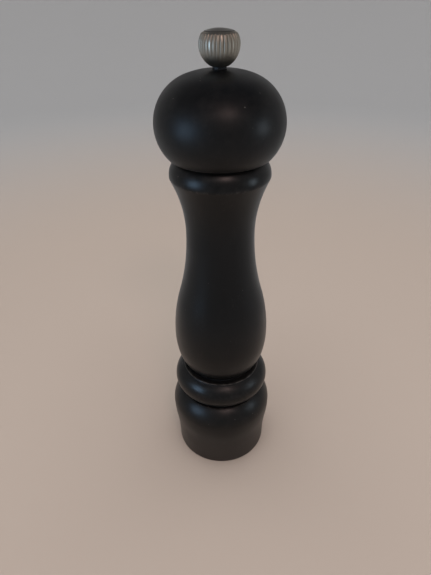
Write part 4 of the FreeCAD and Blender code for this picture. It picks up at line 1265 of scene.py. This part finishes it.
@dataclass
class WoodScrews:
    """A circle of countersunk wood screws with a cross recess, heads down. Sizes are in mm."""

    circle: float
    count: int
    foot: float
    head: float = 2.2
    rim: float = 0.15
    arris: float = 0.05
    core: float = 1.15
    root: float = 0.85
    pitch: float = 0.9
    run_in: float = 1.2
    length: float = 9.0
    point: float = 1.8
    recess: float = 1.1
    recess_rise: float = 0.45
    slot: float = 0.36
    slot_wall: float = 0.14
    reach: float = 1.35
    reach_wall: float = 0.2
    face_edge: float = 0.12
    columns: int = 72
    face_rows: int = 30
    cone_rows: int = 8
    core_rows: int = 120

    def face(self) -> tuple[np.ndarray, np.ndarray]:
        """Rows of the head's flat face.

        The depth is that of the recess inside a cross of two slots, eased over the slots' walls
        and shallower away from the axis.

        Returns:
            Radius and height above the foot, for each row and column.
        """
        angle = round_angles(self.columns)
        rows = np.linspace(0.0, self.head - self.face_edge, self.face_rows)
        radius = rows[:, None] * np.ones_like(angle)
        off = np.minimum(np.abs(radius * np.cos(angle)), np.abs(radius * np.sin(angle)))
        inside = smooth_step(self.slot, self.slot - self.slot_wall, off)
        inside = inside * smooth_step(self.reach, self.reach - self.reach_wall, radius)
        return radius, inside * self.recess * (1.0 - self.recess_rise * radius / self.reach)

    def shank(self) -> tuple[np.ndarray, np.ndarray]:
        """Rows of rim, cone, threaded core and point.

        The radius runs straight between the ends of rim, cone and core, less the thread's depth,
        and tapers evenly to nothing over the point.

        Returns:
            Radius and height above the foot, for each row and column.
        """
        angle = round_angles(self.columns)
        neck = self.rim + self.head - self.core
        rise = np.concatenate([
            [self.arris, self.rim],
            np.linspace(self.rim, neck, self.cone_rows)[1:],
            np.linspace(neck, self.length, self.core_rows)[1:],
        ])
        cone = np.interp(
            rise,
            [0.0, self.arris, self.rim, neck, self.length],
            [self.head - self.arris, self.head, self.head, self.core, self.core],
        )
        height = rise[:, None] * np.ones_like(angle)
        run_in = smooth_step(neck, neck + self.run_in, height)
        cut = thread_depth(height, angle, self.pitch) * run_in
        radius = cone[:, None] - (self.core - self.root) * cut
        return radius * np.clip((self.length - height) / self.point, 0.0, 1.0), height

    def build(self, name: str, node: str, body: str, material: bpy.types.Material) -> None:
        """Makes the screws as one piece in place of their node.

        Args:
            name: Name of the piece.
            node: Node that it stands for.
            body: Body that it rides on.
            material: Finish of the screws.
        """
        (flat, dip), (side, rise) = self.face(), self.shank()
        radius = np.concatenate([flat, side])
        height = np.concatenate([dip, rise]) + self.foot
        shells = []
        for number in range(self.count):
            turn = TURN * number / self.count
            place = (self.circle * math.cos(turn), self.circle * math.sin(turn))
            shells.append(polar_shell(radius, height, Ends.POLES, place))
        stand_for(make_piece(name, shells, material), node, body)


@dataclass
class DriveTrain:
    """What turns with the head inside: the square shaft, the drive plate and its screws.

    Sizes are in mm. The ends are the heights at which lower thread, bar and upper thread begin
    and the last one ends.
    """

    width: float = 5.0
    corner_power: float = 22.0
    ends: tuple[float, float, float, float] = (3.6, 8.5, 196.048, 213.248)
    tip: float = 2.0
    pitch: float = 0.7
    thread: float = 0.36
    chamfer: float = 0.5
    ease: float = 0.25
    ease_share: float = 0.125
    columns: int = 96
    rows_per_pitch: int = 14
    screws: WoodScrews = field(
        default_factory=lambda: WoodScrews(circle=8.6, count=2, foot=159.748))

    def threaded(self, low: float, high: float) -> tuple[np.ndarray, np.ndarray]:
        """Rows of a threaded round end: the round less the thread's depth, chamfered at both ends.

        Args:
            low: Height of its lower end.
            high: Height of its upper end.

        Returns:
            Radius and height, for each row and column.
        """
        angle = round_angles(self.columns)
        rows = np.linspace(low, high, int((high - low) / self.pitch * self.rows_per_pitch))
        height = rows[:, None] * np.ones_like(angle)
        radius = self.tip - self.thread * thread_depth(height, angle, self.pitch)
        away = np.minimum(height - low, high - height)
        return np.minimum(radius, self.tip - self.chamfer + away), height

    def shaft(self) -> Shell:
        """Square bar between threaded round ends.

        The bar's radius is that of a square with rounded corners: half its width over the root of
        the sum of cosine and sine, all to the same high power. It eases in a little at both ends.

        Returns:
            The shell.
        """
        angle, power = round_angles(self.columns), self.corner_power
        total = np.abs(np.cos(angle)) ** power + np.abs(np.sin(angle)) ** power
        bar = total ** (-1.0 / power) * self.width / 2.0
        foot, low, high, top = self.ends
        rise = np.array([low, low + self.ease, high - self.ease, high])[:, None]
        inset = np.array([self.ease_share, 0.0, 0.0, self.ease_share])[:, None]
        square = bar - inset * (bar - self.tip + self.chamfer)
        low_radius, low_height = self.threaded(foot, low)
        high_radius, high_height = self.threaded(high, top)
        none = np.zeros_like(angle)
        radius = np.concatenate([none, low_radius, square, high_radius, none])
        height = np.concatenate([none + foot, low_height, none + rise, high_height, none + top])
        return polar_shell(radius, height, Ends.POLES)

    def build(self, drawn: bpy.types.Material, plated: bpy.types.Material,
              screw: bpy.types.Material) -> None:
        """Puts the shaft and the plate's screws in place of their solids and finishes the plate.

        Args:
            drawn: Finish of the shaft.
            plated: Finish of the plate.
            screw: Finish of the screws.
        """
        shaft = make_piece("square_shaft", [self.shaft()], drawn)
        stand_for(shaft, "drive_shaft", "shaft")
        dress_node("drive_plate", plated)
        self.screws.build("drive_screws", "drive_plate_screws", "head", screw)


@dataclass
class Grinder:
    """Spring, washers, nut and the toothed pair that they hold together. Sizes are in mm."""

    coil: float = 4.54
    wire: float = 0.45
    wire_end: tuple[float, ...] = (0.0, 0.55, 0.85)
    wire_columns: int = 18
    coil_foot: float = 13.55
    coil_rise: float = 1.6
    coil_steps: int = 72
    turns: int = 5
    coil_anchor: float = 22.1
    coil_foot_drawn: float = 1.3125
    nut: Pair = (4.3, 7.5)
    nut_rows: tuple[float, ...] = (1.0, 1.6, 2.2)
    nut_cone_rise: float = 0.5
    nut_cone_rows: int = 9
    nut_columns: int = 144
    flats: float = 3.5
    nut_bore: float = 2.05
    nut_chamfer: float = 0.3
    nut_face: float = 3.3
    nut_soft: float = 0.12

    def spring(self) -> Shell:
        """Coil spring: a circle of the wire's radius carried along a helix, with rounded ends.

        The helix climbs evenly with its angle. Each ring lies in the plane of the outward
        direction and of the direction square to that and to the wire, and shrinks over its last
        steps to close the wire's end.

        Returns:
            The shell.
        """
        steps, closing = self.turns * self.coil_steps, np.array(self.wire_end)
        still = np.zeros_like(closing)
        along = np.concatenate([still, np.linspace(0.0, 1.0, steps), still + 1.0])[:, None]
        share = np.concatenate([closing, np.ones(steps), closing[::-1]])[:, None]
        turn = along * self.turns * TURN
        slope = math.atan2(self.coil_rise, TURN * self.coil)
        round_wire = round_angles(self.wire_columns)
        out = self.coil + self.wire * share * np.cos(round_wire)
        lift = self.wire * share * np.sin(round_wire)
        back = lift * math.sin(slope)
        x = out * np.cos(turn) + back * np.sin(turn)
        y = out * np.sin(turn) - back * np.cos(turn)
        z = self.coil_foot + self.coil_rise * self.turns * along + lift * math.cos(slope)
        return ring_shell(np.stack([x, y, z], axis=-1)[:, ::-1], Ends.POLES, {})

    def hexagon(self) -> Shell:
        """Nut: a hexagon's radius cut by a cone at each face, round a chamfered bore.

        The hexagon's radius is half the width over flats over the cosine of the angle from the
        nearest flat. The cones rise from the faces at thirty degrees to them.

        Returns:
            The shell.
        """
        angle = round_angles(self.nut_columns)
        ring = np.ones_like(angle)
        flat = self.flats / np.cos(angle % (TURN / 6.0) - TURN / 12.0)
        low, high = self.nut
        tall = high - low
        foot = np.linspace(0.0, self.nut_cone_rise, self.nut_cone_rows)
        rise = np.concatenate([foot, self.nut_rows, (tall - foot)[::-1]])
        cone = self.nut_face + np.minimum(rise, tall - rise) * math.sqrt(3.0)
        outside = soft_min(flat, cone[:, None] * ring, self.nut_soft)
        wide = self.nut_bore + self.nut_chamfer
        bore = np.array([wide, self.nut_bore, self.nut_bore, wide])
        depth = np.array([high, high - self.nut_chamfer, low + self.nut_chamfer, low])
        radius = np.concatenate([outside, bore[:, None] * ring])
        height = np.concatenate([rise + low, depth])[:, None] * ring
        return polar_shell(radius, height, Ends.LOOP)

    def build(self, wire: bpy.types.Material, plated: bpy.types.Material,
              toothed: bpy.types.Material) -> None:
        """Puts spring and nut in place of their solids and finishes what they hold.

        Args:
            wire: Finish of the spring.
            plated: Finish of the nut, the bridge and the washers.
            toothed: Finish of the toothed pair.
        """
        spring = make_piece("coil_spring", [self.spring()], wire)
        stand_for(spring, "spring", "spindle")
        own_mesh(spring)
        nut = make_piece("hexagon_nut", [self.hexagon()], plated)
        stand_for(nut, "rotor_nut", "shaft")
        for node in ("rotor", "stator"):
            dress_node(node, toothed)
        for node in ("bridge", "thrust_washer", "rotor_washer"):
            dress_node(node, plated)


@dataclass
class Closure:
    """The ring in the bottom recess that holds the grinder, and its screws."""

    screws: WoodScrews = field(
        default_factory=lambda: WoodScrews(circle=17.0, count=3, foot=7.7))

    def build(self, plated: bpy.types.Material, screw: bpy.types.Material) -> None:
        """Finishes the ring and puts its screws in place of their solids."""
        dress_node("retaining_plate", plated)
        self.screws.build("ring_screws", "retaining_screws", "body", screw)


@dataclass(frozen=True)
class Lamp:
    """A soft rectangular lamp that looks at the mill, placed by its direction from the front.

    Azimuth and elevation are in degrees, distance, width and height in metres.
    """

    name: str
    azimuth: float
    elevation: float
    distance: float
    width: float
    height: float
    colour: Colour
    strength: float
    glow: Glow = Glow.FULL
    watts_per_area: float = 4.0

    def build(self, aim: Vector) -> None:
        """Hangs the lamp, out of the camera's own sight.

        Args:
            aim: Point that it looks at.
        """
        turn, lift = math.radians(self.azimuth), math.radians(self.elevation)
        level = math.cos(lift)
        way = Vector((math.sin(turn) * level, -math.cos(turn) * level, math.sin(lift)))
        light = bpy.data.lights.new(self.name, "AREA")
        light.shape = "RECTANGLE"
        light.size, light.size_y = self.width, self.height
        light.color = self.colour
        light.energy = self.strength * self.watts_per_area * self.width * self.height
        lamp = bpy.data.objects.new(self.name, light)
        lamp.location = aim + way * self.distance
        lamp.rotation_euler = way.to_track_quat("Z", "Y").to_euler()
        lamp.visible_camera = False
        lamp.visible_glossy = self.glow is not Glow.FILL
        lamp.visible_diffuse = self.glow is not Glow.GLINT
        bpy.context.scene.collection.objects.link(lamp)


@dataclass
class Studio:
    """Pale floor that runs up into a wall all round, soft lamps, and the camera.

    Sizes of floor and wall are in mm, places and blends in metres.
    """

    floor: Colour = (0.54, 0.46, 0.40)
    backdrop: Colour = (0.52, 0.525, 0.53)
    paper_rough: float = 0.9
    paper_specular: float = 0.2
    seen_blend: Pair = (0.25, 0.9)
    lit_blend: Pair = (0.06, 0.30)
    opening: float = 20.0
    floor_rows: tuple[float, ...] = (60.0, 200.0, 500.0)
    flat: float = 900.0
    cove: float = 500.0
    cove_rows: int = 24
    wall: float = 1600.0
    columns: int = 96
    world_low: Colour = (0.30, 0.30, 0.31)
    world_high: Colour = (0.08, 0.085, 0.10)
    world_blend: Pair = (0.1, 0.9)
    aim: tuple[float, float, float] = (0.0, 0.0, 0.12)
    eye: tuple[float, float, float] = (-0.00258, -0.1904, 0.2343)
    pitch: float = math.radians(90.0 - 33.95)
    roll: float = math.radians(-0.72)
    lens: float = 28.58
    sensor: float = 36.0
    clip: Pair = (0.005, 20.0)
    lamps: tuple[Lamp, ...] = (
        Lamp("window_left", -57.0, 12.0, 0.42, 0.16, 0.18, (0.44, 0.69, 1.0), 4.6, Glow.GLINT),
        Lamp("window_right", 73.0, 11.0, 0.45, 0.095, 0.16, (0.74, 0.88, 1.0), 3.0, Glow.GLINT),
        Lamp("warm_front", 15.0, 47.0, 0.95, 0.22, 0.14, (1.0, 0.70, 0.64), 9.5),
        Lamp("soft_front", 0.0, 45.0, 0.95, 1.3, 0.10, (1.0, 0.94, 0.92), 1.0, Glow.GLINT),
        Lamp("overhead", 0.0, 89.9, 1.3, 1.4, 1.4, (1.0, 0.98, 0.96), 2.1, Glow.FILL),
    )

    def sweep(self) -> None:
        """Floor and wall: a flat disc, a quarter arc and an upright wall, carried round the axis.

        The disc is open inside the ring of the foot, so that light from below reaches the
        mechanism there.
        """
        turn = np.linspace(-math.pi / 2.0, 0.0, self.cove_rows)
        disc = np.array([self.opening, *self.floor_rows])
        bend, rise = self.flat + self.cove * np.cos(turn), self.cove + self.cove * np.sin(turn)
        radius = np.concatenate([disc, bend, [self.flat + self.cove]])
        height = np.concatenate([np.zeros_like(disc), rise, [self.wall]])
        ring = np.ones((1, self.columns))
        shell = polar_shell(radius[::-1, None] * ring, height[::-1, None] * ring, Ends.OPEN)
        stage = make_piece("studio_sweep", [shell], self.paper())

    def paper(self) -> bpy.types.Material:
        """Matt pale paper, clear from behind so that the mill shows from below.

        The floor's colour runs into the backdrop's with the distance from the mill, later for the
        camera than for the light that the paper sends back to the mill.

        Returns:
            The material.
        """
        material, wire, shader, own = new_material("studio_paper", {
            "Specular IOR Level": self.paper_specular, "Roughness": self.paper_rough})
        away = wire.add("VectorMath", {0: own}, operation="LENGTH").outputs["Value"]
        seen = wire.add("LightPath").outputs["Is Camera Ray"]
        lit = wire.times(wire.minus(1.0, seen), wire.ease(away, *self.lit_blend))
        far = wire.plus(lit, wire.times(seen, wire.ease(away, *self.seen_blend)))
        wire.feed(shader["Base Color"], wire.mix(far, self.floor, self.backdrop))
        nodes = material.node_tree.nodes
        matt = next(node for node in nodes if node.type == "BSDF_PRINCIPLED")
        output = next(node for node in nodes if node.type == "OUTPUT_MATERIAL")
        behind = wire.add("NewGeometry").outputs["Backfacing"]
        clear = wire.add("BsdfTransparent").outputs[0]
        both = wire.add("MixShader", {0: behind, 1: matt.outputs[0], 2: clear})
        wire.feed(output.inputs["Surface"], both.outputs[0])
        return material

    def sky(self) -> None:
        """World light: even grey, darker overhead."""
        world = bpy.data.worlds.new("studio_world")
        world.use_nodes = True
        world.node_tree.nodes.clear()
        wire = Wiring(world.node_tree)
        way = wire.add("TexCoord").outputs["Generated"]
        up = wire.ease(wire.add("SeparateXYZ", {0: way}).outputs[2], *self.world_blend)
        light = wire.add("Background", {"Color": wire.mix(up, self.world_low, self.world_high)})
        wire.add("OutputWorld", {"Surface": light.outputs[0]})
        bpy.context.scene.world = world

    def camera(self) -> None:
        """Camera at the photograph's place: pitched down from level, then rolled about its view."""
        data = bpy.data.cameras.new("camera")
        data.lens, data.sensor_width = self.lens, self.sensor
        data.clip_start, data.clip_end = self.clip
        camera = bpy.data.objects.new("camera", data)
        camera.location = self.eye
        turned = Matrix.Rotation(self.pitch, 3, "X") @ Matrix.Rotation(self.roll, 3, "Z")
        camera.rotation_euler = turned.to_euler()
        bpy.context.scene.collection.objects.link(camera)
        bpy.context.scene.camera = camera

    def build(self) -> None:
        """Sets floor, light and camera."""
        self.sweep()
        self.sky()
        for lamp in self.lamps:
            lamp.build(Vector(self.aim))
        self.camera()
        bpy.context.scene.view_settings.view_transform = "Standard"
        LOG.info("studio with %d lamps", len(self.lamps))


def main() -> None:
    """Builds the mill's pieces and the studio in order."""
    logging.basicConfig(level=logging.INFO, format="%(name)s: %(message)s")
    effects = Effects()
    turned, plated = SHADED_TURNED_STEEL.material(effects), PLATED_STEEL.material(effects)
    screw = SCREW_STEEL.material(effects)
    Studio().build()
    TurnedBody().build(BODY_LACQUER.material(effects))
    TurnedHead().build(HEAD_LACQUER.material(effects), turned)
    FlutedKnob().build(SATIN_STEEL.material(effects), SHADED_CAP_STEEL.material(effects), turned)
    DriveTrain().build(SHAFT_STEEL.material(effects), plated, screw)
    Grinder().build(SPRING_STEEL.material(effects), plated, GRINDER_STEEL.material(effects))
    Closure().build(plated, screw)


if __name__ == "__main__":
    main()
